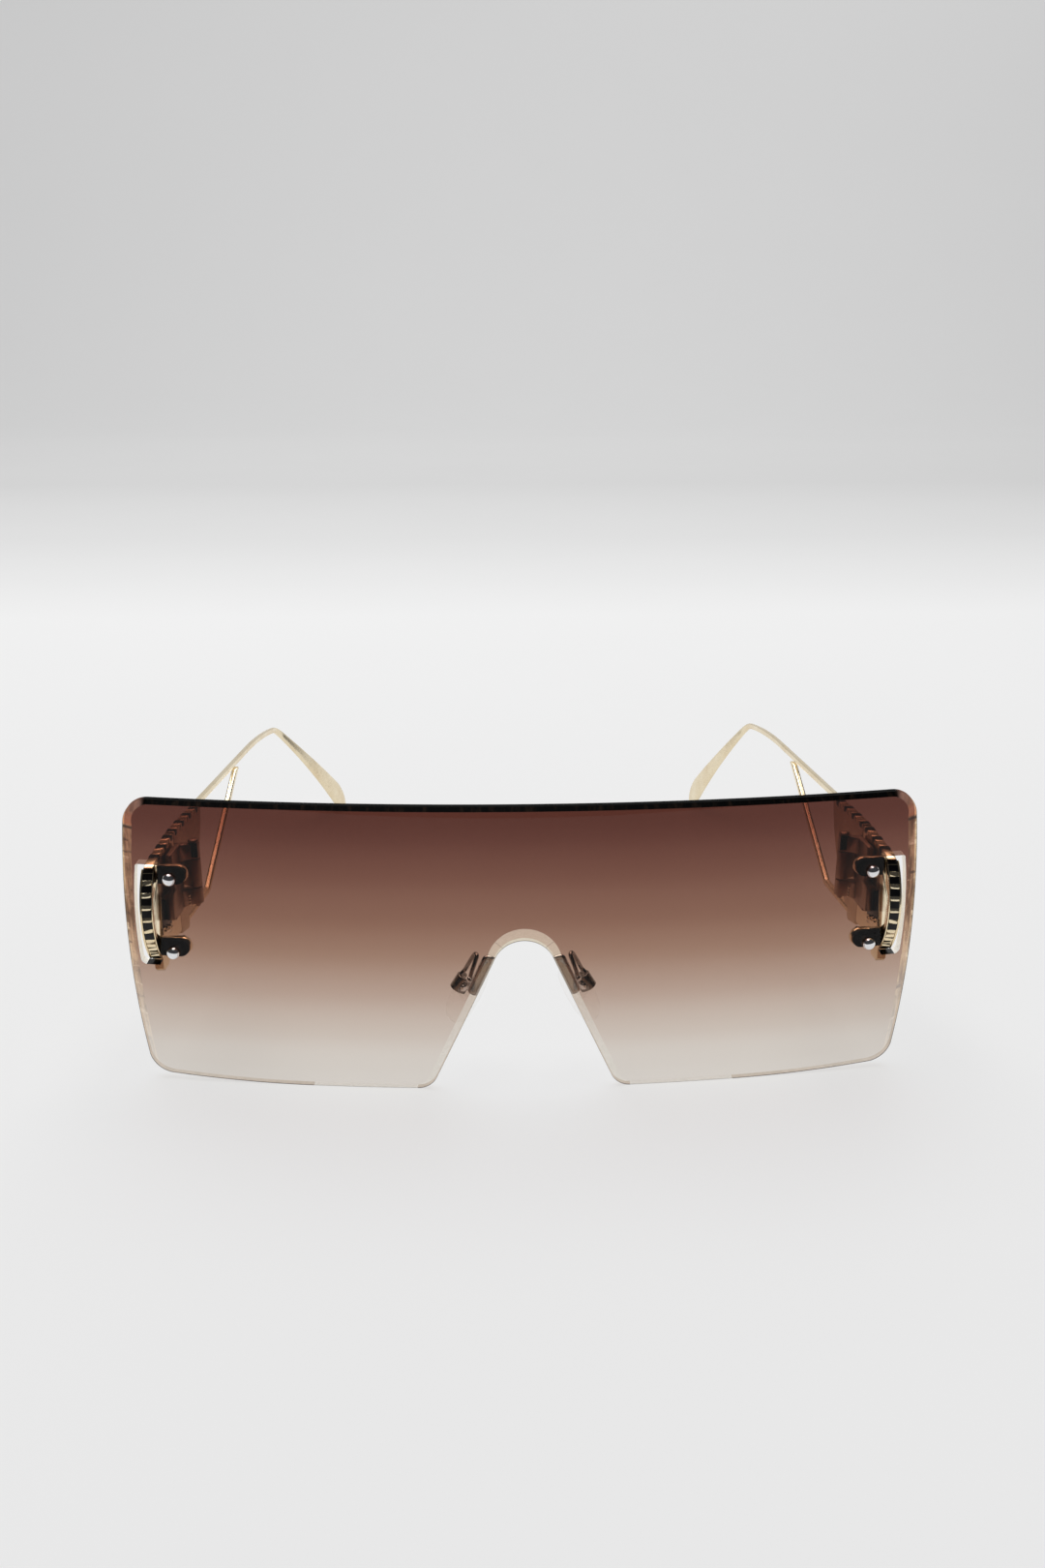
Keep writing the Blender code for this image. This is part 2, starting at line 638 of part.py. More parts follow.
def arm_path(curl_in, drop):
    """Centre line of the arm in the temple frame, with its direction, inward curl and share of the drop."""
    inset_s, middle = BAR_MIDDLE
    start = PLATE_LENGTH + 0.35
    points = [(Vector((start + (EASE_AT - start) * i / 5, inset_s, middle)), 0.0, 0.0, 0.0) for i in range(6)]
    turn_length = BEND_RADIUS * BEND_ANGLE
    stops = [EASE_LENGTH * i / 6 for i in range(1, 7)]
    stops += [EASE_LENGTH + turn_length * i / 8 for i in range(1, 9)]
    stops += [EASE_LENGTH + turn_length + drop * i / 12 for i in range(1, 12)]
    stops += [EASE_LENGTH + turn_length + drop * k for k in (0.955, 0.98, 1.0)]
    here, done = points[-1][0].copy(), 0.0
    for stop in stops:
        fine = 12
        for k in range(fine):
            at = done + (stop - done) * (k + 0.5) / fine
            bent = min(1.0, max(0.0, (at - EASE_LENGTH) / turn_length))
            share = max(0.0, (at - EASE_LENGTH) / (turn_length + drop))
            down = EASE_ANGLE * min(1.0, at / EASE_LENGTH) + BEND_ANGLE * bent
            curl = curl_in * bent - CURL_BACK * share
            step = Vector((math.cos(down) * math.cos(curl), math.sin(curl), -math.sin(down) * math.cos(curl)))
            here = here + step * ((stop - done) / fine)
        done = stop
        points.append((here.copy(), down, curl, share))
    return points


def make_temple_arm(name, mat, hinge, mirror):
    path = arm_path(CURL_IN[1 if mirror else 0], DROP_LENGTH[1 if mirror else 0])
    sides = 12
    bm = bmesh.new()
    rings = []
    last = len(path) - 1
    for index, (point, down, curl, share) in enumerate(path):
        along = Vector((math.cos(down) * math.cos(curl), math.sin(curl), -math.sin(down) * math.cos(curl)))
        face = Vector((-math.cos(down) * math.sin(curl), math.cos(curl), math.sin(down) * math.sin(curl)))
        across = face.cross(along)
        grow = min(1.0, share * 1.15) ** 1.35
        wide = BAR_HEIGHT + (PADDLE_WIDTH - BAR_HEIGHT) * grow
        thick = BAR_WIDTH + (PADDLE_THICK - BAR_WIDTH) * grow
        # The paddle narrows to a round end.
        left = (path[last][0] - point).length / 7.0
        if left < 1:
            wide *= math.sqrt(max(0.1, 1 - (1 - left) ** 2))
            thick *= 1 - 0.4 * (1 - left) ** 3
        ring = []
        for k in range(sides):
            angle = 2 * math.pi * (k + 0.5) / sides
            a = math.copysign(abs(math.cos(angle)) ** 0.6, math.cos(angle))
            b = math.copysign(abs(math.sin(angle)) ** 0.6, math.sin(angle))
            p = point + across * (a * wide / 2) + face * (b * thick / 2)
            ring.append(bm.verts.new(Vector(temple_point(p.x, p.y, p.z)) * MM))
        rings.append(ring)
    for near, far in zip(rings, rings[1:]):
        for k in range(sides):
            bm.faces.new((near[k], near[(k + 1) % sides], far[(k + 1) % sides], far[k]))
    bm.faces.new(rings[0])
    bm.faces.new(rings[-1])
    bmesh.ops.recalc_face_normals(bm, faces=bm.faces)
    return finish(bm, name, mat, hinge, smooth=True, mirror=mirror)


def make_temple_strut(name, mat, hinge, mirror):
    """Strip along the foot, then up to the underside of the bar."""
    half = STRUT_WIDTH / 2
    foot = STRUT_BEND[1]
    level = BAR_MIDDLE[1] - BAR_HEIGHT / 2 - 0.25
    bend, top = Vector(STRUT_BEND), Vector((STRUT_TOP_T, level))
    up = (top - bend).normalized()
    normal = Vector((-up.y, up.x))
    turn = math.atan2(up.y, up.x)

    # The strip's two edges are cut level with the bar's underside.
    def on_level(point):
        return (point.x + up.x * (level - point.y) / up.y, level)

    radius = 2.4
    inner = arc((bend.x - radius * math.tan(turn / 2), foot + half + radius), radius, 270, 270 + math.degrees(turn), 4)
    outer = arc((bend.x - radius * math.tan(turn / 2), foot + half + radius), radius + STRUT_WIDTH,
                270 + math.degrees(turn), 270, 4)
    start = 5.55
    loop = [(start, foot + half)] + inner + [on_level(bend + normal * half)]
    loop += [on_level(bend - normal * half)] + outer + [(start, foot - half)]
    bm = bmesh.new()
    slab(bm, chamfered(loop, STRUT_INSET, STRUT_INSET + STRUT_THICK, 0.12),
         lambda t, w, s: temple_point(t, s, w))
    return finish(bm, name, mat, hinge, mirror=mirror)


# ---------------------------------------------------------------- nose pads

def pad_frame():
    """World matrix of the left pad: X is its contact normal, Y runs back across it, Z up along it."""
    up = Vector(PAD_LONG).normalized()
    across = Vector(PAD_ACROSS)
    across = (across - up * across.dot(up)).normalized()
    normal = across.cross(up)
    rot = Matrix((normal, across, up)).transposed().to_4x4()
    place = Vector(PAD_CENTRE) - Vector((0, Y_CENTRE, 0))
    return Matrix.Translation(place * MM) @ rot


def pivot_frame(mirror):
    """World matrix of a pad's rocking axis: Z runs along the screw, back across the pad."""
    frame = pad_frame() @ Matrix.Translation(Vector((-PIVOT_BACK, 0, PIVOT_UP)) * MM)
    if mirror:
        frame = Matrix.Scale(-1, 4, (1, 0, 0)) @ frame @ Matrix.Scale(-1, 4, (1, 0, 0))
    return frame


def make_bracket(name, mat, mirror):
    """Thin strip on the back of the lens, flush with the nose edge."""
    edge = Vector((-math.sin(math.radians(24.4)), math.cos(math.radians(24.4))))
    out = Vector((math.cos(math.radians(24.4)), math.sin(math.radians(24.4))))

    def at(height, off):
        # Points by height along the nose edge and distance from it into the lens.
        scale = height / edge.y
        p = Vector((NOSE_FOOT, 0)) + edge * scale + out * off
        return (-p.x, p.y)

    loop = [at(18.9, 0.12), at(18.6, 1.1), at(19.2, 2.05), at(25.7, 2.05), at(26.5, 1.3), at(26.5, 0.12)]
    bm = bmesh.new()
    slab(bm, chamfered(loop, LENS_THICKNESS + 0.15, LENS_THICKNESS + 1.05, 0.12),
         lambda x, z, h: (x, lens_y(x, z) + h - Y_CENTRE, z))
    return finish(bm, name, mat, mirror=mirror)


def smooth_route(points, per_span):
    """Catmull-Rom points through the given ones."""
    points = [Vector(p) for p in points]
    ext = [points[0] * 2 - points[1]] + points + [points[-1] * 2 - points[-2]]
    route = []
    for i in range(1, len(ext) - 2):
        p0, p1, p2, p3 = ext[i - 1 : i + 3]
        for k in range(per_span):
            t = k / per_span
            route.append(0.5 * (2 * p1 + (p2 - p0) * t + (2 * p0 - 5 * p1 + 4 * p2 - p3) * t * t
                                + (3 * p1 - p0 - 3 * p2 + p3) * t**3))
    route.append(points[-1])
    return route


def make_pad_arm(name, mat, mirror):
    """Bent wire: a narrow hairpin, up from the bracket, over, and down into the top of the pad box."""
    frame = pad_frame()
    foot = Vector((0, Y_CENTRE, 0))
    box_top = frame @ (Vector((-PIVOT_BACK - 1.0, 0, PIVOT_UP + BOX_HALF + 0.22)) * MM) / MM + foot
    near_box = frame @ (Vector((-PIVOT_BACK - 0.8, 0, PIVOT_UP + BOX_HALF + 1.45)) * MM) / MM + foot
    route = [
        (-10.05, 4.15, 21.5), (-9.75, 4.25, 22.8), (-9.2, 4.6, 24.4), (-8.75, 5.35, 25.6),
        (-9.15, 6.35, 25.4), (-10.1, 7.4, 23.3), near_box, box_top,
    ]
    points = smooth_route(route, 4)
    curve = bpy.data.curves.new(name, "CURVE")
    curve.dimensions = "3D"
    curve.bevel_depth = ARM_WIRE * MM
    curve.bevel_resolution = 2
    curve.use_fill_caps = True
    spline = curve.splines.new("POLY")
    spline.points.add(len(points) - 1)
    for slot, p in zip(spline.points, points):
        x = -p[0] if mirror else p[0]
        slot.co = (x * MM, (p[1] - Y_CENTRE) * MM, p[2] * MM, 1.0)
    made = bpy.data.objects.new(name, curve)
    bpy.context.scene.collection.objects.link(made)
    curve.materials.append(mat)
    return made


def mirrored_bm(frame, build):
    bm = bmesh.new()
    build(bm, lambda a, b, h: frame @ (Vector((a, b, h)) * MM) / MM)
    return bm


def make_pad_box(name, mat, mirror):
    """Small barrel, open towards the pad, that holds its tab between two cheeks."""
    frame = pad_frame() @ Matrix.Translation(Vector((-PIVOT_BACK, 0, PIVOT_UP)) * MM)
    loop = [(1.1, -1.5), (1.1, -0.8), (-0.75, -0.8), (-0.75, 0.8), (1.1, 0.8), (1.1, 1.5)]
    loop += arc((0, 0), 1.5, 90, 270, 10)
    bm = mirrored_bm(frame, lambda bm, place: slab(bm, chamfered(loop, -BOX_HALF, BOX_HALF, 0.12), place))
    box = finish(bm, name, mat, mirror=mirror)
    bm = bmesh.new()
    turned(bm, [(0, -2.5), (0.5, -2.5), (0.5, 2.5), (0, 2.5)], frame @ Matrix.Rotation(math.radians(-90), 4, "X"), 12)
    boolean(box, helper(finish(bm, name + "_bore", None, mirror=mirror)), "DIFFERENCE")
    return box


def make_pad_screw(name, mat, mirror):
    frame = pad_frame() @ Matrix.Translation(Vector((-PIVOT_BACK, 0, PIVOT_UP)) * MM)
    bm = bmesh.new()
    profile = [(0, -2.15), (0.45, -2.1), (0.75, -1.85), (0.75, -1.65), (0.35, -1.65), (0.35, 1.7), (0, 1.75)]
    turned(bm, profile, frame @ Matrix.Rotation(math.radians(-90), 4, "X"), 12)
    return finish(bm, name, mat, smooth=True, mirror=mirror)


def local_pad(bm, mirror):
    """Moves a mesh built in the pad's frame, pivot at the origin, into the pivot's local space."""
    if mirror:
        bmesh.ops.transform(bm, matrix=Matrix.Scale(-1, 4, (1, 0, 0)), verts=bm.verts)
        bmesh.ops.reverse_faces(bm, faces=bm.faces)
    return bm


def make_pad_core(name, mat, pivot, mirror):
    """Metal insert: a plate in the pad's back and the tab that the screw passes through."""
    bm = bmesh.new()
    back = PIVOT_BACK - PAD_THICK / 2
    plate = [(-1.0, -2.4), (1.0, -2.4), (1.3, -1.9), (1.3, 1.9), (1.0, 2.4), (-1.0, 2.4), (-1.3, 1.9), (-1.3, -1.9)]
    slab(bm, [(plate, back + 0.15), (plate, back + 0.75)], lambda y, z, x: (x, y, z - 0.6))
    core = finish(local_pad(bm, mirror), name, mat, pivot)
    bm = bmesh.new()
    tab = arc((0, 0), 0.62, 90, 270, 6) + [(back + 0.4, -0.62), (back + 0.4, 0.62)]
    slab(bm, [(tab, -0.5), (tab, 0.5)], lambda x, z, y: (x, y, z), [(arc((0, 0), 0.42, 0, 330, 11),) * 2])
    boolean(core, helper(finish(local_pad(bm, mirror), name + "_tab", None, pivot)), "UNION")
    return core


def make_nose_pad(name, mat, pivot, mirror):
    """Soft pad: rounded, D-shaped, crowned on the nose side, with a recess for its core."""
    bm = bmesh.new()
    outline = []
    count = 24
    for i in range(count):
        angle = 2 * math.pi * i / count
        y = PAD_HALF_WIDTH * math.copysign(abs(math.cos(angle)) ** 0.8, math.cos(angle))
        z = PAD_HALF_LENGTH * math.copysign(abs(math.sin(angle)) ** 0.85, math.sin(angle))
        y *= 1.0 - 0.12 * z / PAD_HALF_LENGTH
        outline.append((y, z - PIVOT_UP))
    back = PIVOT_BACK - PAD_THICK / 2
    front = PIVOT_BACK + PAD_THICK / 2
    rings = [(inset(outline, 0.5), back), (outline, back + 0.55), (outline, front - 1.0),
             (inset(outline, 0.5), front - 0.4), (inset(outline, 1.3), front)]
    slab(bm, rings, lambda y, z, x: (x, y, z))
    pad = finish(local_pad(bm, mirror), name, mat, pivot)
    bm = bmesh.new()
    hollow = [(-1.6, -2.7), (1.6, -2.7), (1.6, 2.7), (-1.6, 2.7)]
    slab(bm, [(hollow, back - 1.0), (hollow, back + 1.05)], lambda y, z, x: (x, y, z - 0.6))
    boolean(pad, helper(finish(local_pad(bm, mirror), name + "_recess", None, pivot)), "DIFFERENCE")
    return pad


# ---------------------------------------------------------------- assembly

def main():
    for old in list(bpy.data.objects):
        bpy.data.objects.remove(old, do_unlink=True)

    mats = {
        "lens": material("tinted_lens", (0.30, 0.16, 0.12), 0.05, 0.0, 0.55),
        "gold": material("pale_gold", (0.83, 0.68, 0.40), 0.22, 1.0),
        "chrome": material("bright_steel", (0.80, 0.80, 0.80), 0.12, 1.0),
        "gunmetal": material("dark_steel", (0.42, 0.39, 0.37), 0.25, 1.0),
        "black": material("black_gasket", (0.015, 0.015, 0.017), 0.55, 0.0),
        "sleeve": material("clear_sleeve", (0.85, 0.85, 0.83), 0.3, 0.0, 0.5),
        "silicone": material("clear_silicone", (0.85, 0.85, 0.84), 0.25, 0.0, 0.35),
    }

    lean = empty("front_lean", None, (0, -Y_CENTRE, 0), (-LEAN, 0, 0))
    make_lens(mats["lens"])
    frames = make_fasteners(mats)

    for name, mirror in (("left", False), ("right", True)):
        side = 1 if mirror else -1
        make_end_piece(name + "_end_piece", mats["gold"], lean, frames, mirror)
        make_front_leaf(name + "_hinge_front_leaf", mats["gold"], lean, mirror)
        make_hinge_screw(name + "_hinge_screw", mats["chrome"], lean, mirror)
        opened = RIGHT_OPENED if mirror else 0.0
        hinge = empty(name + "_hinge_axis", lean, (-side * HINGE_X, HINGE_U, 0), (0, 0, -opened))
        make_rear_leaf(name + "_hinge_rear_leaf", mats["gold"], hinge, mirror)
        make_temple_plate(name + "_temple_plate", mats["gold"], hinge, mirror)
        make_temple_arm(name + "_temple_arm", mats["gold"], hinge, mirror)
        make_temple_strut(name + "_temple_strut", mats["gold"], hinge, mirror)

        make_bracket(name + "_pad_bracket", mats["gunmetal"], mirror)
        make_pad_arm(name + "_pad_arm", mats["gunmetal"], mirror)
        make_pad_box(name + "_pad_box", mats["gunmetal"], mirror)
        make_pad_screw(name + "_pad_screw", mats["chrome"], mirror)
        pivot = empty(name + "_pad_axis")
        pivot.matrix_world = pivot_frame(mirror)
        make_pad_core(name + "_pad_core", mats["gunmetal"], pivot, mirror)
        make_nose_pad(name + "_nose_pad", mats["silicone"], pivot, mirror)


main()
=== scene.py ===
import math

import bmesh
import bpy
from mathutils import Matrix, Vector
from mathutils.geometry import delaunay_2d_cdt


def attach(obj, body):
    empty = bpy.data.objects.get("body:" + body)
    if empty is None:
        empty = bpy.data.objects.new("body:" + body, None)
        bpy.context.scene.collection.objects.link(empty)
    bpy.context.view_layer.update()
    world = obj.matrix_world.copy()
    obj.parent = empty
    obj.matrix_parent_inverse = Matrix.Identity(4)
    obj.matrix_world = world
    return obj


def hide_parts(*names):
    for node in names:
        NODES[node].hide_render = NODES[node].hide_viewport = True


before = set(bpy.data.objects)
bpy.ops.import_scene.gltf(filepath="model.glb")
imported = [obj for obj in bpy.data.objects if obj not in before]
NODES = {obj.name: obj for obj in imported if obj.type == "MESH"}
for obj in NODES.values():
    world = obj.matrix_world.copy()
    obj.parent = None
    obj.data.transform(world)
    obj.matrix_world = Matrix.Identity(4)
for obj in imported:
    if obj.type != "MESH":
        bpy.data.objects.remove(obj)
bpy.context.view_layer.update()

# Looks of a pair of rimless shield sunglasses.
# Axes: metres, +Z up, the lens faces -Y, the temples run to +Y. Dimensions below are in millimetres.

MM = 0.001
Y_CENTRE = 71.20

# Lens.
LEAN = math.radians(4.6)
LENS_HALF_WIDTH = 73.5
LENS_HEIGHT = 55.85
LENS_THICKNESS = 2.0
LENS_RADIUS = 422.2
LENS_CROWN = 0.8
LENS_MIDDLE = 26.0
SIDE_BOW = 0.00255
TOP_CORNER = 4.9
LOW_CORNER = 4.8
LOW_EDGE_RISE = 0.9
BEVEL_DEPTH = 0.85
BEVEL_TOP, BEVEL_SIDE, BEVEL_LOW = 0.65, 2.0, 1.4
BEVEL_ARCH, BEVEL_LEG = 2.8, 1.6
NOSE_ARCH_RADIUS, NOSE_ARCH_Z = 5.86, 24.7
NOSE_FOOT = 17.65
NOSE_CORNER = 4.0
SLOT_IN, SLOT_IN_TOP = 67.3, 66.4
SLOT_OUT, SLOT_BOW = 71.4, 0.0062
SLOT_Z = (24.35, 43.95)
HOLES = ((64.38, 41.28), (64.75, 26.95))
HOLE_RADIUS = 1.05

# End piece and hinge, in the leaning frame (x, depth u, height w).
PLATE_OUT, PLATE_IN = -69.35, -67.65
PLATE_REAR = 20.55
FRONT_ARC_U, FRONT_ARC_W, FRONT_ARC_RADIUS = 14.9, 34.2, 13.0
TONGUE_FOOT = 25.3
BROW_START = (7.2, 43.95)
BROW_REAR = 44.8
TOOTH_PITCH, TOOTH_GAP, TOOTH_DEPTH = 2.35, 0.95, 0.9
GASKET = (2.15, 2.85)
LUG_HALF, LUG_REACH = 1.8, 2.1
HINGE_X, HINGE_U = -64.0, 20.7
KNUCKLE_RADIUS = 1.15
KNUCKLES = ((30.4, 33.6), (33.9, 39.5), (39.8, 42.8))

# Temple.
SPLAY = math.radians(2.55)
RIGHT_OPENED = math.radians(0.4)
TEMPLE_START = 20.9
TEMPLE_THICK = 1.7
PLATE_LENGTH = 18.4
PLATE_CREST, PLATE_CREST_AT = 45.05, 8.0
BAR_HEIGHT, BAR_WIDTH, BAR_MIDDLE = 1.4, 1.15, (0.15, 44.15)
EASE_AT, EASE_LENGTH, EASE_ANGLE = 64.6, 29.0, math.radians(9.2)
BEND_RADIUS, BEND_ANGLE = 9.6, math.radians(41.2)
DROP_LENGTH = (36.58, 35.49)
CURL_IN = (math.radians(26.5), math.radians(21.7))
CURL_BACK = math.radians(11.7)
PADDLE_WIDTH, PADDLE_THICK = 7.2, 1.3
STRUT_WIDTH, STRUT_THICK, STRUT_INSET = 1.4, 0.9, 0.45
STRUT_BEND, STRUT_TOP_T = (21.4, 24.25), 51.5

# Nose pads.
PAD_CENTRE = (-10.6, 9.5, 15.2)
PAD_LONG = (0.52, 0.08, 0.85)
PAD_ACROSS = (-0.45, 0.89, 0.0)
PAD_HALF_LENGTH, PAD_HALF_WIDTH, PAD_THICK = 6.3, 3.5, 2.4
PIVOT_UP, PIVOT_BACK = 1.7, 2.9
ARM_WIRE, BOX_HALF = 0.42, 1.5


# ---------------------------------------------------------------- camera, light, stage

def camera():
    data = bpy.data.cameras.new("camera")
    data.sensor_width = 36.0
    data.lens = 27.044
    data.clip_start, data.clip_end = 0.005, 30.0
    made = bpy.data.objects.new("camera", data)
    bpy.context.scene.collection.objects.link(made)
    made.location = Vector((-5.55, -187.43 - Y_CENTRE, 135.15)) * MM
    forward = Vector((0.0257, 0.9312, -0.3636)).normalized()
    made.rotation_mode = "QUATERNION"
    made.rotation_quaternion = forward.to_track_quat("-Z", "Y")
    bpy.context.scene.camera = made


def area_light(name, place, target, size, power, colour=(1, 1, 1)):
    data = bpy.data.lights.new(name, "AREA")
    data.shape = "RECTANGLE"
    data.size, data.size_y = size
    data.energy = power
    data.color = colour
    made = bpy.data.objects.new(name, data)
    bpy.context.scene.collection.objects.link(made)
    made.location = place
    made.rotation_mode = "QUATERNION"
    made.rotation_quaternion = (Vector(target) - Vector(place)).to_track_quat("-Z", "Y")
    return made


# ---------------------------------------------------------------- nodes

def tree(name):
    made = bpy.data.materials.new(name)
    made.use_nodes = True
    made.node_tree.nodes.clear()
    return made, made.node_tree


def put(nt, kind, inputs=None, **props):
    made = nt.nodes.new(kind)
    for key, value in props.items():
        setattr(made, key, value)
    for key, value in (inputs or {}).items():
        if isinstance(value, bpy.types.NodeSocket):
            nt.links.new(value, made.inputs[key])
        else:
            made.inputs[key].default_value = value
    return made


def mix_colour(nt, factor, a, b, blend="MIX"):
    made = put(nt, "ShaderNodeMix", {0: factor, 6: a, 7: b}, data_type="RGBA", blend_type=blend)
    return made.outputs[2]


def maths(nt, operation, a, b=0.0, clamp=False):
    return put(nt, "ShaderNodeMath", {0: a, 1: b}, operation=operation, use_clamp=clamp).outputs[0]


def ranged(nt, value, low, high, to_low=0.0, to_high=1.0, smooth=False):
    made = put(nt, "ShaderNodeMapRange", {0: value, 1: low, 2: high, 3: to_low, 4: to_high})
    made.interpolation_type = "SMOOTHSTEP" if smooth else "LINEAR"
    return made.outputs[0]


def noise(nt, place, scale, detail=3.0, rough=0.55, stretch=None):
    if stretch:
        place = put(nt, "ShaderNodeMapping", {"Vector": place, "Scale": stretch}).outputs[0]
    return put(nt, "ShaderNodeTexNoise",
               {"Vector": place, "Scale": scale, "Detail": detail, "Roughness": rough}).outputs[0]


def rgb(r, g, b):
    return (r, g, b, 1.0)


def sheen(nt, ior):
    """Share of light that a surface mirrors, on its outer side only."""
    edge = put(nt, "ShaderNodeFresnel", {"IOR": ior}).outputs[0]
    inner = put(nt, "ShaderNodeNewGeometry").outputs["Backfacing"]
    return maths(nt, "MULTIPLY", edge, maths(nt, "SUBTRACT", 1.0, inner))


def output(nt, shader):
    put(nt, "ShaderNodeOutputMaterial", {"Surface": shader})


def metal(name, light, dark, rough, grain=1400.0, stretch=(1, 1, 1), bump=0.08, wear=0.5):
    """Polished metal: slow drift in tone, fine brushed grain in gloss and height."""
    made, nt = tree(name)
    place = put(nt, "ShaderNodeTexCoord").outputs["Object"]
    broad = noise(nt, place, 130.0, 3.0)
    fine = noise(nt, place, grain, 4.0, 0.6, stretch)
    tone = mix_colour(nt, ranged(nt, broad, 0.35, 0.7), rgb(*light), rgb(*dark))
    tone = mix_colour(nt, ranged(nt, fine, 0.45, 0.75, 0.0, wear), tone, rgb(*[c * 0.78 for c in dark]))
    gloss = maths(nt, "ADD", ranged(nt, fine, 0.3, 0.7, rough * 0.7, rough * 1.35),
                  ranged(nt, broad, 0.3, 0.7, 0.0, rough * 0.25))
    relief = put(nt, "ShaderNodeBump", {"Strength": bump, "Distance": 0.00003, "Height": fine}).outputs[0]
    shader = put(nt, "ShaderNodeBsdfPrincipled",
                 {"Base Color": tone, "Metallic": 1.0, "Roughness": gloss, "Normal": relief})
    output(nt, shader.outputs[0])
    made.diffuse_color = rgb(*light)
    return made


def moulded(name, light, dark, rough, grain=900.0, bump=0.15, specular=0.5):
    """Moulded or enamelled plastic with a faint orange peel."""
    made, nt = tree(name)
    place = put(nt, "ShaderNodeTexCoord").outputs["Object"]
    broad = noise(nt, place, 200.0, 2.0)
    fine = noise(nt, place, grain, 4.0, 0.6)
    tone = mix_colour(nt, ranged(nt, broad, 0.35, 0.7), rgb(*light), rgb(*dark))
    gloss = ranged(nt, fine, 0.3, 0.7, rough * 0.8, rough * 1.25)
    relief = put(nt, "ShaderNodeBump", {"Strength": bump, "Distance": 0.00003, "Height": fine}).outputs[0]
    shader = put(nt, "ShaderNodeBsdfPrincipled",
                 {"Base Color": tone, "Roughness": gloss, "Specular IOR Level": specular, "Normal": relief})
    output(nt, shader.outputs[0])
    made.diffuse_color = rgb(*light)
    return made


# The brown dye: how dense it is by height, and how much of each colour it takes.
DYE_STOPS = ((0.05, 0.08), (0.17, 0.16), (0.32, 0.38), (0.46, 0.69), (0.59, 1.02), (0.73, 1.31), (0.86, 1.69), (0.95, 1.99))
DYE_LOW, DYE_HIGH = (1.0, 1.61, 1.95), (1.0, 1.555, 1.70)
SHEET = (0.17, 0.19, 0.245)


def dye_colour(nt, place, share):
    """Colour that one face of the sheet lets through, with its share of the dye."""
    height = put(nt, "ShaderNodeSeparateXYZ", {0: place}).outputs[2]
    level = ranged(nt, height, 0.0, LENS_HEIGHT * MM)
    ramp = put(nt, "ShaderNodeValToRGB", {0: level})
    ramp.color_ramp.interpolation = "CARDINAL"
    stops = ramp.color_ramp.elements
    while len(stops) < len(DYE_STOPS):
        stops.new(0.5)
    for stop, (at, dense) in zip(stops, DYE_STOPS):
        stop.position = at
        stop.color = rgb(dense / 2, dense / 2, dense / 2)
    density = put(nt, "ShaderNodeSeparateColor", {0: ramp.outputs[0]}).outputs[0]
    cloud = noise(nt, place, 22.0, 2.0)
    density = maths(nt, "MULTIPLY", density, ranged(nt, cloud, 0.3, 0.7, 0.985, 1.015))
    parts = []
    for low, high, base in zip(DYE_LOW, DYE_HIGH, SHEET):
        take = ranged(nt, level, 0.5, 0.9, -2.0 * low * share, -2.0 * high * share)
        power = maths(nt, "ADD", maths(nt, "MULTIPLY", density, take), -base * share)
        parts.append(maths(nt, "POWER", math.e, power))
    return put(nt, "ShaderNodeCombineColor", {0: parts[0], 1: parts[1], 2: parts[2]}).outputs[0]


def lens_face(name):
    """Tinted, polished face of the sheet."""
    made, nt = tree(name)
    place = put(nt, "ShaderNodeTexCoord").outputs["Object"]
    through = put(nt, "ShaderNodeBsdfTransparent", {0: dye_colour(nt, place, 0.5)})
    haze = noise(nt, place, 60.0, 4.0)
    gloss = put(nt, "ShaderNodeBsdfGlossy", {"Color": rgb(1, 1, 1), "Roughness": ranged(nt, haze, 0.3, 0.7, 0.0, 0.03)})
    both = put(nt, "ShaderNodeMixShader", {0: sheen(nt, 1.25), 1: through.outputs[0], 2: gloss.outputs[0]})
    output(nt, both.outputs[0])
    made.diffuse_color = (0.3, 0.18, 0.14, 0.6)
    return made


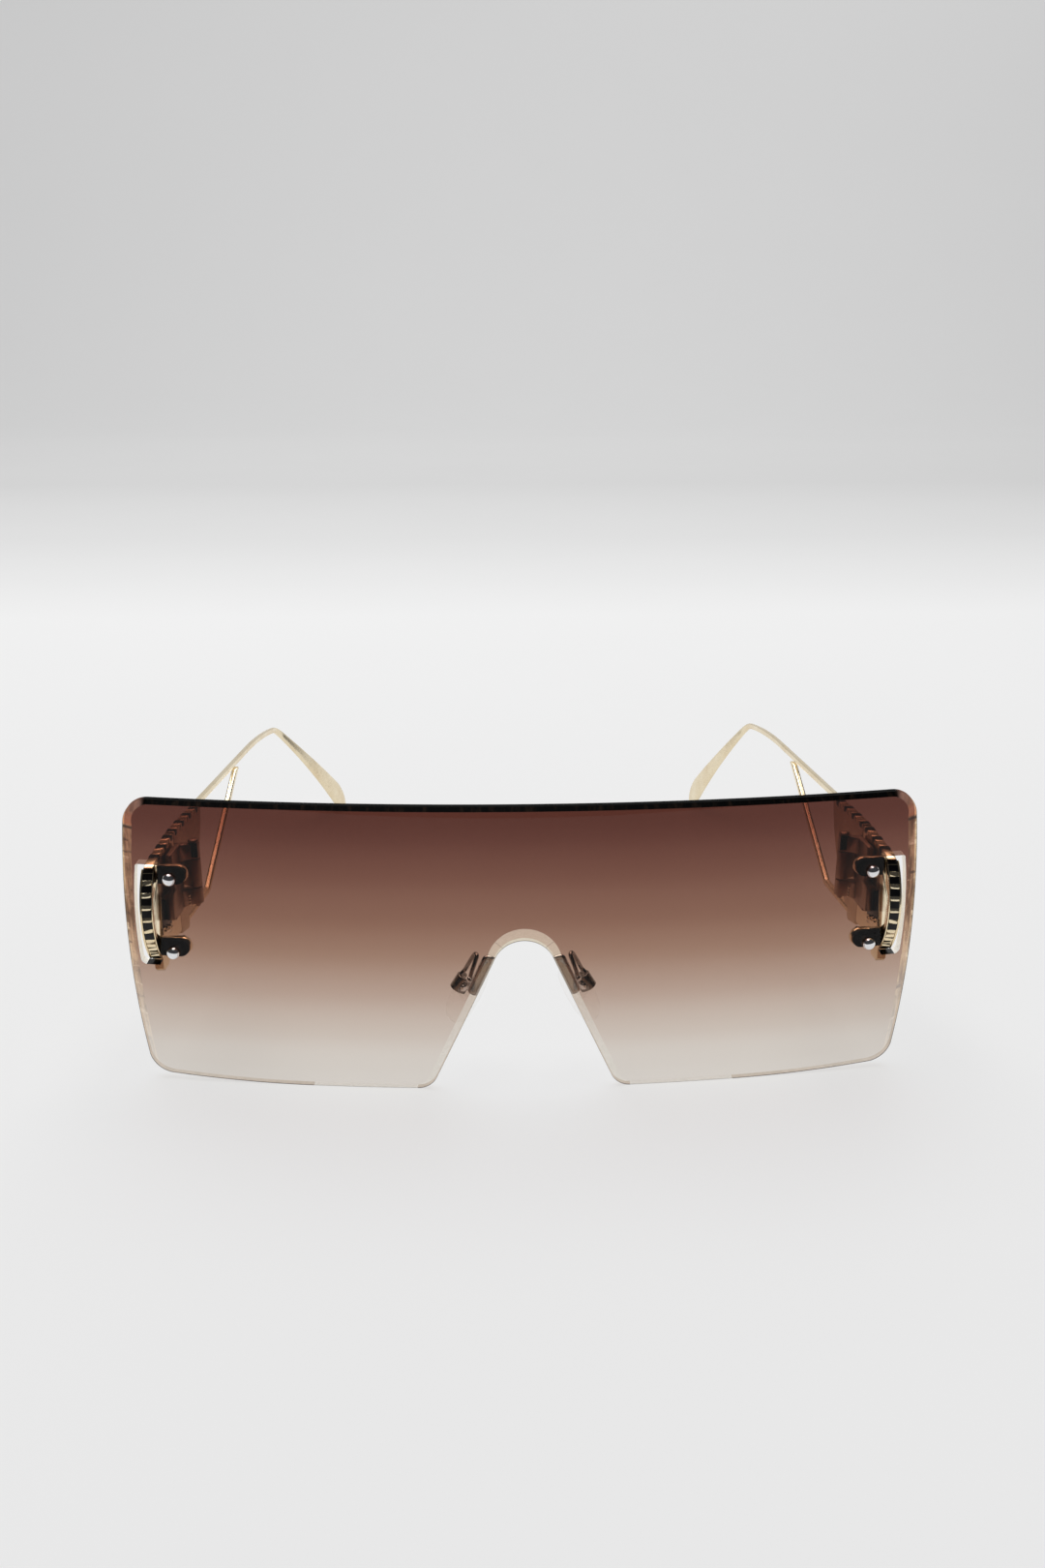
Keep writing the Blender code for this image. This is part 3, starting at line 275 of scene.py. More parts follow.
def lens_bevel(name):
    """Ground edge face. The zone attribute is (top, side, nose); the band is painted black on top as shade, and
    streaked at the sides with painted light.
    """
    made, nt = tree(name)
    place = put(nt, "ShaderNodeTexCoord").outputs["Object"]
    zone = put(nt, "ShaderNodeAttribute", attribute_name="zone")
    weights = put(nt, "ShaderNodeSeparateColor", {0: zone.outputs["Color"]})
    top, side, nose = weights.outputs[0], weights.outputs[1], weights.outputs[2]
    height = put(nt, "ShaderNodeSeparateXYZ", {0: place}).outputs[2]
    # Painted light in the ground side edge: long thin streaks, gold on brown, and a few cross marks, standing in for
    # light the edge refracts; the brightest pass more light than arrives.
    long_streak = noise(nt, place, 260.0, 4.0, 0.6, (3.2, 1.0, 0.55))
    cross = noise(nt, place, 300.0, 3.0, 0.6, (0.6, 1.0, 2.2))
    gold = mix_colour(nt, ranged(nt, long_streak, 0.39, 0.61), rgb(0.30, 0.19, 0.11), rgb(1.02, 0.80, 0.53))
    gold = mix_colour(nt, ranged(nt, cross, 0.58, 0.70), gold, rgb(1.18, 1.02, 0.78))
    gold = mix_colour(nt, ranged(nt, cross, 0.40, 0.30), gold, rgb(0.20, 0.13, 0.09))
    # Painted highlight: an orange flare in a narrow band near the top.
    painted_flare = maths(nt, "MULTIPLY", ranged(nt, height, 0.0510, 0.0514), ranged(nt, height, 0.0537, 0.0528))
    gold = mix_colour(nt, maths(nt, "MULTIPLY", painted_flare, 0.8), gold, rgb(1.0, 0.52, 0.28))
    # Painted shade: a dark line painted just below the flare.
    line = maths(nt, "MULTIPLY", ranged(nt, height, 0.0503, 0.0506), ranged(nt, height, 0.0511, 0.0508))
    gold = mix_colour(nt, maths(nt, "MULTIPLY", line, 0.85), gold, rgb(0.05, 0.03, 0.02))
    pale = ranged(nt, height, 0.034, 0.008)
    gold = mix_colour(nt, maths(nt, "MULTIPLY", pale, 0.8), gold, rgb(0.93, 0.91, 0.88))
    dusty = noise(nt, place, 1500.0, 3.0, 0.6)
    clear = mix_colour(nt, ranged(nt, dusty, 0.3, 0.7), rgb(0.94, 0.92, 0.88), rgb(0.88, 0.86, 0.81))
    # The sheet is thinner along the nose band and holds less dye, more so higher up.
    arch = mix_colour(nt, ranged(nt, dusty, 0.3, 0.7), rgb(1.17, 1.20, 1.11), rgb(1.10, 1.13, 1.03))
    clear = mix_colour(nt, maths(nt, "MULTIPLY", nose, ranged(nt, height, 0.018, 0.028)), clear, arch)
    # Two fine seams across the arch's band.
    across = put(nt, "ShaderNodeSeparateXYZ", {0: place}).outputs[0]
    rise = maths(nt, "SUBTRACT", height, NOSE_ARCH_Z * MM)
    lean = maths(nt, "ARCTAN2", maths(nt, "ABSOLUTE", across), rise)
    seam = ranged(nt, maths(nt, "ABSOLUTE", maths(nt, "SUBTRACT", lean, math.radians(41))), 0.016, 0.006)
    clear = mix_colour(nt, maths(nt, "MULTIPLY", seam, maths(nt, "MULTIPLY", nose, 0.35)), clear, rgb(0.30, 0.25, 0.22))
    band = mix_colour(nt, side, clear, gold)
    through = put(nt, "ShaderNodeBsdfTransparent", {0: band})
    gloss = put(nt, "ShaderNodeBsdfGlossy", {"Color": rgb(1, 1, 1), "Roughness": ranged(nt, long_streak, 0.3, 0.7, 0.05, 0.2)})
    open_band = put(nt, "ShaderNodeMixShader", {0: sheen(nt, 1.3), 1: through.outputs[0], 2: gloss.outputs[0]})
    frost_tone = mix_colour(nt, ranged(nt, dusty, 0.3, 0.7), rgb(0.80, 0.72, 0.63), rgb(0.72, 0.64, 0.55))
    frost = put(nt, "ShaderNodeBsdfTranslucent", {0: frost_tone})
    lit = put(nt, "ShaderNodeBsdfDiffuse", {0: frost_tone})
    frosted = put(nt, "ShaderNodeMixShader", {0: 0.5, 1: frost.outputs[0], 2: lit.outputs[0]})
    share = maths(nt, "MULTIPLY", nose, ranged(nt, height, 0.0262, 0.0278, 0.03, 0.12))
    open_band = put(nt, "ShaderNodeMixShader", {0: share, 1: open_band.outputs[0], 2: frosted.outputs[0]})
    # Painted shade: along the top the band turns black, standing in for the dark that the top edge refracts.
    dark_tone = mix_colour(nt, ranged(nt, long_streak, 0.5, 0.7), rgb(0.002, 0.002, 0.002), rgb(0.02, 0.012, 0.008))
    dark = put(nt, "ShaderNodeBsdfPrincipled",
               {"Base Color": dark_tone, "Roughness": ranged(nt, dusty, 0.3, 0.7, 0.25, 0.4), "Specular IOR Level": 0.012})
    both = put(nt, "ShaderNodeMixShader",
               {0: ranged(nt, top, 0.74, 0.95, smooth=True), 1: open_band.outputs[0], 2: dark.outputs[0]})
    output(nt, both.outputs[0])
    made.diffuse_color = (0.35, 0.25, 0.18, 0.8)
    return made


def lens_wall(name, tones, share):
    """Edge of the sheet, painted black along the top as shade. tones are what the rest lets through, share how much of
    it is opaque.
    """
    made, nt = tree(name)
    place = put(nt, "ShaderNodeTexCoord").outputs["Object"]
    zone = put(nt, "ShaderNodeAttribute", attribute_name="zone")
    weights = put(nt, "ShaderNodeSeparateColor", {0: zone.outputs["Color"]})
    streak = noise(nt, place, 500.0, 3.0, 0.6, (1.0, 1.0, 0.6))
    low = mix_colour(nt, ranged(nt, streak, 0.4, 0.65), rgb(*tones[0]), rgb(*tones[1]))
    through = put(nt, "ShaderNodeBsdfTransparent", {0: low})
    body = put(nt, "ShaderNodeBsdfPrincipled",
               {"Base Color": rgb(0.02, 0.014, 0.012), "Roughness": ranged(nt, streak, 0.3, 0.7, 0.25, 0.45),
                "Specular IOR Level": 0.15})
    part = put(nt, "ShaderNodeMixShader", {0: share, 1: through.outputs[0], 2: body.outputs[0]})
    # Painted shade: black along the top, standing in for the dark that the top edge refracts.
    black = put(nt, "ShaderNodeBsdfPrincipled",
                {"Base Color": rgb(0.002, 0.002, 0.002), "Roughness": ranged(nt, streak, 0.3, 0.7, 0.3, 0.45),
                 "Specular IOR Level": 0.012})
    both = put(nt, "ShaderNodeMixShader",
               {0: ranged(nt, weights.outputs[0], 0.74, 0.95, smooth=True), 1: part.outputs[0], 2: black.outputs[0]})
    output(nt, both.outputs[0])
    made.diffuse_color = (0.05, 0.04, 0.035, 1)
    return made


def frosted_wall_glow(name):
    """Ground wall of a slot: pale, with a painted glow standing in for light that comes through the sheet's edge."""
    made, nt = tree(name)
    place = put(nt, "ShaderNodeTexCoord").outputs["Object"]
    fine = noise(nt, place, 1200.0, 4.0, 0.6)
    tone = mix_colour(nt, ranged(nt, fine, 0.3, 0.7), rgb(0.92, 0.92, 0.90), rgb(0.80, 0.80, 0.78))
    relief = put(nt, "ShaderNodeBump", {"Strength": 0.15, "Distance": 0.00003, "Height": fine}).outputs[0]
    # Painted light: the emission makes the wall glow as if lit through the sheet's edge.
    shader = put(nt, "ShaderNodeBsdfPrincipled", {
        "Base Color": tone, "Roughness": ranged(nt, fine, 0.3, 0.7, 0.4, 0.6), "Normal": relief,
        "Emission Color": tone, "Emission Strength": 0.42})
    output(nt, shader.outputs[0])
    made.diffuse_color = rgb(0.85, 0.85, 0.84)
    return made


def clear_soft(name, outline, body_share):
    """Clear silicone: almost nothing face on, a faint grey outline painted where the surface turns away, standing in
    for the light its rim bends and mirrors.
    """
    made, nt = tree(name)
    place = put(nt, "ShaderNodeTexCoord").outputs["Object"]
    fine = noise(nt, place, 700.0, 3.0)
    through_tone = mix_colour(nt, ranged(nt, fine, 0.3, 0.7), rgb(0.997, 0.995, 0.992), rgb(0.990, 0.986, 0.980))
    through = put(nt, "ShaderNodeBsdfTransparent", {0: through_tone})
    body = put(nt, "ShaderNodeBsdfPrincipled",
               {"Base Color": rgb(0.62, 0.60, 0.57), "Roughness": ranged(nt, fine, 0.3, 0.7, 0.15, 0.3)})
    # Painted reflection: grey body mixed in by how far the surface turns from the view.
    turn = put(nt, "ShaderNodeLayerWeight", {"Blend": 0.12}).outputs["Facing"]
    edge = maths(nt, "ADD", maths(nt, "MULTIPLY", maths(nt, "POWER", turn, 2.0), outline), body_share, clamp=True)
    both = put(nt, "ShaderNodeMixShader", {0: edge, 1: through.outputs[0], 2: body.outputs[0]})
    output(nt, both.outputs[0])
    made.diffuse_color = (0.8, 0.8, 0.8, 0.3)
    return made


MATS = {
    "gold": metal("gold_polished", (0.93, 0.80, 0.56), (0.86, 0.70, 0.45), 0.17, 1600.0, (1, 0.25, 1), 0.02, 0.14),
    "gold_fine": metal("gold_arm", (0.88, 0.77, 0.56), (0.80, 0.66, 0.44), 0.20, 1800.0, (1, 0.2, 1), 0.02, 0.14),
    "chrome": metal("steel_bright", (0.88, 0.88, 0.89), (0.78, 0.78, 0.79), 0.06, 2200.0, (1, 1, 1), 0.03, 0.3),
    "gunmetal": metal("steel_dark", (0.36, 0.32, 0.30), (0.26, 0.23, 0.21), 0.15, 1800.0, (1, 1, 0.3), 0.02, 0.2),
    "steel": metal("steel_polished", (0.66, 0.65, 0.65), (0.42, 0.41, 0.41), 0.18, 2000.0, (1, 1, 0.3), 0.02, 0.2),
    "enamel": moulded("black_enamel", (0.004, 0.004, 0.005), (0.010, 0.009, 0.009), 0.22, 1500.0, 0.05, 0.25),
    "rubber": moulded("black_gasket_rubber", (0.003, 0.0025, 0.004), (0.007, 0.005, 0.006), 0.45, 1300.0, 0.12, 0.08),
    "slot_wall": frosted_wall_glow("ground_slot_wall_glow"),
    "satin": metal("gold_satin", (0.56, 0.43, 0.33), (0.44, 0.33, 0.26), 0.38, 1500.0, (1, 1, 1), 0.05, 0.2),
    "plate": metal("gold_plate", (0.74, 0.61, 0.44), (0.62, 0.49, 0.36), 0.30, 1500.0, (1, 0.3, 1), 0.03, 0.2),
    "bead": metal("gold_bead", (1.0, 0.90, 0.70), (0.95, 0.80, 0.58), 0.16, 2400.0, (1, 1, 1), 0.3, 0.1),
    "sparkle": metal("gold_strut", (0.97, 0.86, 0.64), (0.86, 0.68, 0.44), 0.26, 2400.0, (1, 1, 1), 0.45, 0.35),
    "sleeve": moulded("sleeve_nylon", (0.030, 0.026, 0.024), (0.020, 0.018, 0.016), 0.4, 1200.0, 0.1, 0.3),
    "face": lens_face("lens_tinted_face"),
    "bevel": lens_bevel("lens_ground_bevel"),
    "wall": lens_wall("lens_ground_edge", ((0.10, 0.085, 0.075), (0.30, 0.24, 0.20)), 0.35),
    "rim": lens_wall("lens_ground_edge_back", ((0.80, 0.71, 0.63), (0.73, 0.65, 0.57)), 0.04),
    "silicone": clear_soft("silicone_clear", 0.34, 0.003),
    "insert": clear_soft("insert_clear", 0.25, 0.01),
}


# ---------------------------------------------------------------- solids

def inside(point, loop):
    x, y = point
    hit = False
    for (x0, y0), (x1, y1) in zip(loop, loop[1:] + loop[:1]):
        if (y0 > y) != (y1 > y) and x < (x1 - x0) * (y - y0) / (y1 - y0) + x0:
            hit = not hit
    return hit


def cap_triangles(outer, holes, extra):
    """Triangles, as indices into outer + holes + extra, of a flat face with holes."""
    points, edges = [], []
    for loop in [outer] + holes:
        first = len(points)
        points += loop
        edges += [(first + i, first + (i + 1) % len(loop)) for i in range(len(loop))]
    points += extra
    out = delaunay_2d_cdt([Vector(p) for p in points], edges, [], 0, 1e-6)
    back = [ids[0] if ids else None for ids in out[3]]
    found = []
    for face in out[2]:
        middle = sum((out[0][i] for i in face), Vector((0, 0))) / len(face)
        if inside(middle, outer) and not any(inside(middle, h) for h in holes):
            found.append([back[i] for i in face])
    return found


def slab(bm, rings, place, holes=(), extra=(), indices=None):
    """Closed solid from outline rings (loop, height), first to last, with holes through it.

    indices gives the material of (front, each wall strip, back, holes).
    """
    spans = len(rings) - 1
    indices = indices or [0] * (spans + 3)
    built = [[bm.verts.new(Vector(place(a, b, h)) * MM) for a, b in loop] for loop, h in rings]
    low, high = rings[0][1], rings[-1][1]
    fronts = [[bm.verts.new(Vector(place(a, b, low)) * MM) for a, b in f] for f, _ in holes]
    backs = [[bm.verts.new(Vector(place(a, b, high)) * MM) for a, b in k] for _, k in holes]
    for k, (near, far) in enumerate(list(zip(built, built[1:])) + list(zip(fronts, backs))):
        n = len(near)
        for i in range(n):
            face = bm.faces.new((near[i], near[(i + 1) % n], far[(i + 1) % n], far[i]))
            face.material_index = indices[k + 1] if k < spans else indices[-1]
    for which, (ring, ring_verts, hole_loops, hole_verts) in enumerate((
        (rings[0], built[0], [f for f, _ in holes], fronts),
        (rings[-1], built[-1], [k for _, k in holes], backs),
    )):
        fill = [bm.verts.new(Vector(place(a, b, ring[1])) * MM) for a, b in extra]
        all_verts = ring_verts + [v for loop in hole_verts for v in loop] + fill
        for tri in cap_triangles(list(ring[0]), [list(h) for h in hole_loops], list(extra)):
            face = bm.faces.new([all_verts[i] for i in tri])
            face.material_index = indices[0] if which == 0 else indices[-2]
        for vert in fill:
            if not vert.link_faces:
                bm.verts.remove(vert)
    bmesh.ops.recalc_face_normals(bm, faces=bm.faces)
    return built


def inset(loop, distance):
    """The loop moved inwards by a distance or a distance per point."""
    area = sum(a[0] * b[1] - b[0] * a[1] for a, b in zip(loop, loop[1:] + loop[:1]))
    turn = 1.0 if area > 0 else -1.0
    moved = []
    count = len(loop)
    for i, (x, y) in enumerate(loop):
        before, after = loop[i - 1], loop[(i + 1) % count]
        d0 = Vector((x - before[0], y - before[1])).normalized()
        d1 = Vector((after[0] - x, after[1] - y)).normalized()
        n0, n1 = Vector((-d0.y, d0.x)) * turn, Vector((-d1.y, d1.x)) * turn
        mid = (n0 + n1).normalized()
        step = distance[i] if isinstance(distance, (list, tuple)) else distance
        step /= max(0.5, mid.dot(n0))
        moved.append((x + mid.x * step, y + mid.y * step))
    return moved


def rounded(loop, low, high, edge, steps=3):
    """Rings of a plate whose two long edges are rounded."""
    rings = []
    for k in range(steps + 1):
        a = math.pi / 2 * k / steps
        rings.append((inset(loop, edge * (1 - math.sin(a))), low + edge * (1 - math.cos(a))))
    for k in range(steps, -1, -1):
        a = math.pi / 2 * k / steps
        rings.append((inset(loop, edge * (1 - math.sin(a))), high - edge * (1 - math.cos(a))))
    return rings


def turned(bm, profile, matrix, steps=40):
    """A body of revolution from a profile of (radius, height), on matrix's Z axis."""
    rings = []
    for radius, height in profile:
        if radius < 1e-6:
            rings.append([bm.verts.new(matrix @ (Vector((0, 0, height)) * MM))])
            continue
        rings.append([
            bm.verts.new(matrix @ (Vector((radius * math.cos(2 * math.pi * i / steps),
                                           radius * math.sin(2 * math.pi * i / steps), height)) * MM))
            for i in range(steps)
        ])
    for near, far in zip(rings, rings[1:]):
        for i in range(steps):
            j = (i + 1) % steps
            quad = [near[i % len(near)], near[j % len(near)], far[j % len(far)], far[i % len(far)]]
            face = list(dict.fromkeys(quad))
            if len(face) > 2:
                bm.faces.new(face)
    if len(rings[0]) > 1 and len(rings[-1]) > 1:
        for i in range(steps):
            j = (i + 1) % steps
            bm.faces.new((rings[-1][i], rings[-1][j], rings[0][j], rings[0][i]))
    bmesh.ops.recalc_face_normals(bm, faces=bm.faces)


def loft(bm, rings):
    """Closed body from rings of world points, with flat ends."""
    made = [[bm.verts.new(p) for p in ring] for ring in rings]
    n = len(made[0])
    for near, far in zip(made, made[1:]):
        for k in range(n):
            bm.faces.new((near[k], near[(k + 1) % n], far[(k + 1) % n], far[k]))
    bm.faces.new(made[0])
    bm.faces.new(made[-1])
    bmesh.ops.recalc_face_normals(bm, faces=bm.faces)


def arc(centre, radius, start, end, count):
    """Points on an arc, both ends included; angles in degrees."""
    return [
        (
            centre[0] + radius * math.cos(math.radians(start + (end - start) * i / count)),
            centre[1] + radius * math.sin(math.radians(start + (end - start) * i / count)),
        )
        for i in range(count + 1)
    ]


def straight(a, b, count):
    return [(a[0] + (b[0] - a[0]) * i / count, a[1] + (b[1] - a[1]) * i / count) for i in range(count + 1)]


def piece(bm, name, mats, body, stands_for=(), angle=38.0):
    """Turns a world-space bmesh into a named piece that rides on a body."""
    mesh = bpy.data.meshes.new(name)
    bm.to_mesh(mesh)
    bm.free()
    mesh.shade_smooth()
    mesh.set_sharp_from_angle(angle=math.radians(angle))
    made = bpy.data.objects.new(name, mesh)
    bpy.context.scene.collection.objects.link(made)
    for mat in mats if isinstance(mats, (list, tuple)) else [mats]:
        mesh.materials.append(mat)
    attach(made, body)
    if stands_for:
        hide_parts(*stands_for)
    return made


def dress(node, mat):
    """A carried-over CAD node: its own shape, smooth over its small chamfers, in a detailed material."""
    made = NODES[node]
    mesh = made.data
    mesh.materials.clear()
    mesh.materials.append(mat)
    if "custom_normal" in mesh.attributes:
        mesh.attributes.remove(mesh.attributes["custom_normal"])
    mesh.shade_smooth()
    weld = made.modifiers.new("weld", "WELD")
    weld.merge_threshold = 1e-7
    sharp = made.modifiers.new("even", "WEIGHTED_NORMAL")
    sharp.keep_sharp = True
    sharp.weight = 90


def lean_world(x, u, w):
    """Leaning frame (mm) to the row frame (mm)."""
    c, s = math.cos(LEAN), math.sin(LEAN)
    return (x, u * c + w * s - Y_CENTRE, -u * s + w * c)


def hinge_world(side, x, u, w):
    """Hinge's own frame, left as built, to the row frame."""
    if side < 0:
        return lean_world(HINGE_X + x, HINGE_U + u, w)
    c, s = math.cos(RIGHT_OPENED), math.sin(RIGHT_OPENED)
    x = -x
    return lean_world(-HINGE_X + x * c + u * s, HINGE_U - x * s + u * c, w)


def temple_world(side, t, s, w):
    x = PLATE_OUT - HINGE_X + t * math.sin(SPLAY) + s * math.cos(SPLAY)
    u = TEMPLE_START - HINGE_U + t * math.cos(SPLAY) - s * math.sin(SPLAY)
    return hinge_world(side, x, u, w)


SIDES = ((-1, "left"), (1, "right"))


# ---------------------------------------------------------------- lens

CURVE = 1 / (2 * LENS_RADIUS)


def lens_y(x, z):
    crown = LENS_CROWN * CURVE * ((z - LENS_MIDDLE) ** 2 - LENS_MIDDLE**2)
    return CURVE * x * x + math.tan(LEAN) * z + crown - BEVEL_DEPTH


def lens_slope(x, z):
    return 2 * CURVE * x, math.tan(LEAN) + 2 * LENS_CROWN * CURVE * (z - LENS_MIDDLE)


def half_width(z):
    return LENS_HALF_WIDTH - SIDE_BOW * (z - 31.5) ** 2


def low_edge(x):
    return LOW_EDGE_RISE * (max(0.0, x - 40.0) / 26.0) ** 2


def lens_outline(fine=3):
    """Outline (x, z), bevel width and zone (top, side, nose) at each point, clockwise from the top."""
    half = []

    def run(points, width0, width1, zone0, zone1, ease=False):
        for i, p in enumerate(points):
            if half and math.dist(half[-1][0], p) < 0.05:
                continue
            k = i / (len(points) - 1)
            zone = tuple(a + (b - a) * k for a, b in zip(zone0, zone1))
            k = math.sin(k * math.pi / 2) if ease else k
            half.append((p, width0 + (width1 - width0) * k, zone))

    top, side, nose, low = (1, 0, 0), (0, 1, 0), (0, 0, 1), (0, 0, 0)
    corner_z = LENS_HEIGHT - TOP_CORNER
    start_z = corner_z + TOP_CORNER * math.sin(math.radians(5.8))
    corner_x = half_width(start_z) - TOP_CORNER * math.cos(math.radians(5.8))
    run(straight((0, LENS_HEIGHT), (corner_x, LENS_HEIGHT), 14 * fine), BEVEL_TOP, BEVEL_TOP, top, top)
    run(arc((corner_x, corner_z), TOP_CORNER, 90, 5.8, 8 * fine), BEVEL_TOP, BEVEL_SIDE, top, side)
    foot_x = half_width(5.3) - LOW_CORNER * math.cos(math.radians(7.7))
    foot_z = low_edge(foot_x) + LOW_CORNER
    foot_start = foot_z - LOW_CORNER * math.sin(math.radians(7.7))
    count = 11 * fine
    sides = [start_z + (foot_start - start_z) * i / count for i in range(count + 1)]
    run([(half_width(z), z) for z in sides], BEVEL_SIDE, BEVEL_SIDE - 0.3, side, side)
    run(arc((foot_x, foot_z), LOW_CORNER, -7.7, -88, 7 * fine), BEVEL_SIDE - 0.3, BEVEL_LOW, side, low)
    corner_run = NOSE_CORNER * math.tan(math.radians((90 - 24.4) / 2))
    xs = [foot_x + (NOSE_FOOT + corner_run - foot_x) * i / count for i in range(count + 1)]
    run([(x, low_edge(x)) for x in xs], BEVEL_LOW, BEVEL_LOW, low, low)
    run(arc((xs[-1], NOSE_CORNER), NOSE_CORNER, 270, 204.4, 6 * fine), BEVEL_LOW, BEVEL_LEG, low, nose)
    tangent = math.radians(24.4)
    arch_foot = (NOSE_ARCH_RADIUS * math.cos(tangent), NOSE_ARCH_Z + NOSE_ARCH_RADIUS * math.sin(tangent))
    run(straight(half[-1][0], arch_foot, 8 * fine), BEVEL_LEG, BEVEL_LEG, nose, nose)
    run(arc((0, NOSE_ARCH_Z), NOSE_ARCH_RADIUS, 24.4, 90, 9 * fine), BEVEL_LEG, BEVEL_ARCH, nose, nose, True)
    half[-1] = ((0.0, half[-1][0][1]),) + half[-1][1:]
    whole = half + [((-p[0], p[1]), w, zone) for p, w, zone in half[1:-1]][::-1]
    return [h[0] for h in whole], [h[1] for h in whole], [h[2] for h in whole]


def lens_hole_frame(x, z):
    slope_x, slope_z = lens_slope(x, z)
    return Vector((x, lens_y(x, z), z)), Vector((-slope_x, 1.0, -slope_z))


def slot_outline():
    low, high = SLOT_Z
    middle = (low + high) / 2 - 2.0

    def outer(z):
        return SLOT_OUT - SLOT_BOW * (z - middle) ** 2

    loop = [(outer(low + 1.3 + (high - low - 1.9) * i / 16), low + 1.3 + (high - low - 1.9) * i / 16) for i in range(17)]
    loop += arc((loop[-1][0] - 0.5, high - 0.5), 0.5, 20, 90, 5)
    loop += arc((SLOT_IN_TOP + 0.4, high - 0.4), 0.4, 90, 180, 5)
    loop += [(SLOT_IN_TOP + (SLOT_IN - SLOT_IN_TOP) * k / 8, high - 0.4 - (high - low - 0.8) * k / 8) for k in range(1, 8)]
    loop += arc((SLOT_IN + 0.4, low + 0.4), 0.4, 180, 270, 5)
    loop += arc((loop[0][0] - 1.2, low + 1.2), 1.2, 270, 345, 8)
    return loop


def make_lens():
    outline, widths, zones = lens_outline()
    inner = inset(outline, widths)
    holes = []
    for side in (-1, 1):
        slot = slot_outline()
        if side < 0:
            slot = [(-x, z) for x, z in slot][::-1]
        holes.append((slot, slot))
        for x, z in HOLES:
            _, depth = lens_hole_frame(side * x, z)
            ring = arc((side * x, z), HOLE_RADIUS, 0, 360 - 12, 29)
            shift = (depth.x * LENS_THICKNESS, depth.z * LENS_THICKNESS)
            holes.append((ring, [(a + shift[0], b + shift[1]) for a, b in ring]))
    safe = inset(outline, 3.4)
    grid = []
    for i in range(-22, 23):
        for j in range(1, 18):
            p = (i * 3.2, j * 3.15)
            clear = all(math.dist(p, q) > 2.9 for q in outline[::2])
            for front, back in holes:
                clear = clear and not inside(p, front) and all(math.dist(p, q) > 1.2 for q in front + back)
            if clear and inside(p, safe):
                grid.append(p)
    bm = bmesh.new()
    layer = bm.verts.layers.float_color.new("zone")
    built = slab(
        bm,
        [(inner, 0.0), (outline, BEVEL_DEPTH), (outline, BEVEL_DEPTH + 0.22), (outline, LENS_THICKNESS)],
        lambda x, z, h: (x, lens_y(x, z) + h - Y_CENTRE, z),
        holes,
        grid,
        [0, 1, 2, 3, 0, 4],
    )
    for face in bm.faces:
        if face.material_index == 4:
            middle = face.calc_center_median() / MM
            # Painted shade: the walls round the screw holes and the slot's floor take the black enamel, standing in for
            # the shade inside them.
            if any(math.hypot(abs(middle.x) - x, middle.z - z) < 1.4 for x, z in HOLES):
                face.material_index = 5
            elif middle.z < SLOT_Z[0] + 0.35 and abs(middle.x) < 70.2:
                face.material_index = 5
            elif abs(middle.x) < 69.3:
                face.material_index = 3
    for vert in bm.verts:
        vert[layer] = (0.0, 0.0, 0.0, 1.0)
    for ring in built:
        for vert, zone in zip(ring, zones):
            vert[layer] = (*zone, 1.0)
    made = piece(bm, "lens", [MATS[key] for key in ("face", "bevel", "wall", "rim", "slot_wall", "enamel")], "front",
                 ["shield_lens"], 12.0)
    # True surface normals on the two faces, so that reflections run smoothly over the sheet.
    mesh = made.data
    normals = []
    for poly in mesh.polygons:
        if poly.material_index == 0:
            sign = -1.0 if poly.normal.y < 0 else 1.0
            for index in poly.loop_indices:
                co = mesh.vertices[mesh.loops[index].vertex_index].co / MM
                slope_x, slope_z = lens_slope(co.x, co.z)
                normals.append((Vector((-slope_x, 1.0, -slope_z)).normalized() * sign)[:])
        else:
            normals += [(0.0, 0.0, 0.0)] * poly.loop_total
    mesh.normals_split_custom_set(normals)
    return made


# ---------------------------------------------------------------- fasteners

def screw_frames():
    """World matrices of the four lens screws: Z runs back through the lens, Y is up."""
    frames = []
    for side in (-1, 1):
        for x, z in HOLES:
            point, depth = lens_hole_frame(side * x, z)
            back = depth.normalized()
            up = (Vector((0, 0, 1)) - back * back.z).normalized()
            across = up.cross(back)
            rot = Matrix((across, up, back)).transposed().to_4x4()
            frames.append(Matrix.Translation((point - Vector((0, Y_CENTRE, 0))) * MM) @ rot)
    return frames


def capsule(index, start, radius, reach, root):
    """Capsule round a screw, in its frame: from start (towards the plate) to a round tip."""
    tip = arc((reach - radius, 0), radius, -90, 90, 20)
    loop = [(start, -root)] + tip + [(start, root)]
    return loop if index > 1 else [(-a, b) for a, b in loop]


def make_fasteners():
    for index, where in enumerate(screw_frames()):
        place = ("left", "right")[index // 2] + ("_upper", "_lower")[index % 2]
        # Domed head with a fine collar, then the shank.
        dome = [(1.10 * math.sin(a), -0.42 - 0.55 * math.cos(a)) for a in (math.pi / 2 * k / 9 for k in range(10))]
        dome[0] = (0.0, dome[0][1])
        profile = dome + [(1.16, -0.36), (1.19, -0.28), (1.19, -0.2), (1.14, -0.15), (0.55, -0.15), (0.55, 5.55),
                          (0.5, 5.7), (0.38, 5.8), (0, 5.8)]
        bm = bmesh.new()
        turned(bm, profile, where, 48)
        piece(bm, place + "_screw", MATS["chrome"], "front", [place + "_mount_screw"], 32.0)

        bm = bmesh.new()
        hole = arc((0, 0), 0.75, 0, 345, 23)
        loop = capsule(index, -3.2, 1.74, 2.04, 1.74)
        slab(bm, rounded(loop, GASKET[0], GASKET[1], 0.16),
             lambda a, b, h, where=where: (where @ (Vector((a, b, h)) * MM)) / MM, [(hole, hole)])
        piece(bm, place + "_gasket", MATS["rubber"], "front", [place + "_mount_gasket"], 40.0)
        dress(place + "_mount_nut", MATS["chrome"])
        dress(place + "_mount_sleeve", MATS["sleeve"])


# ---------------------------------------------------------------- notched borders

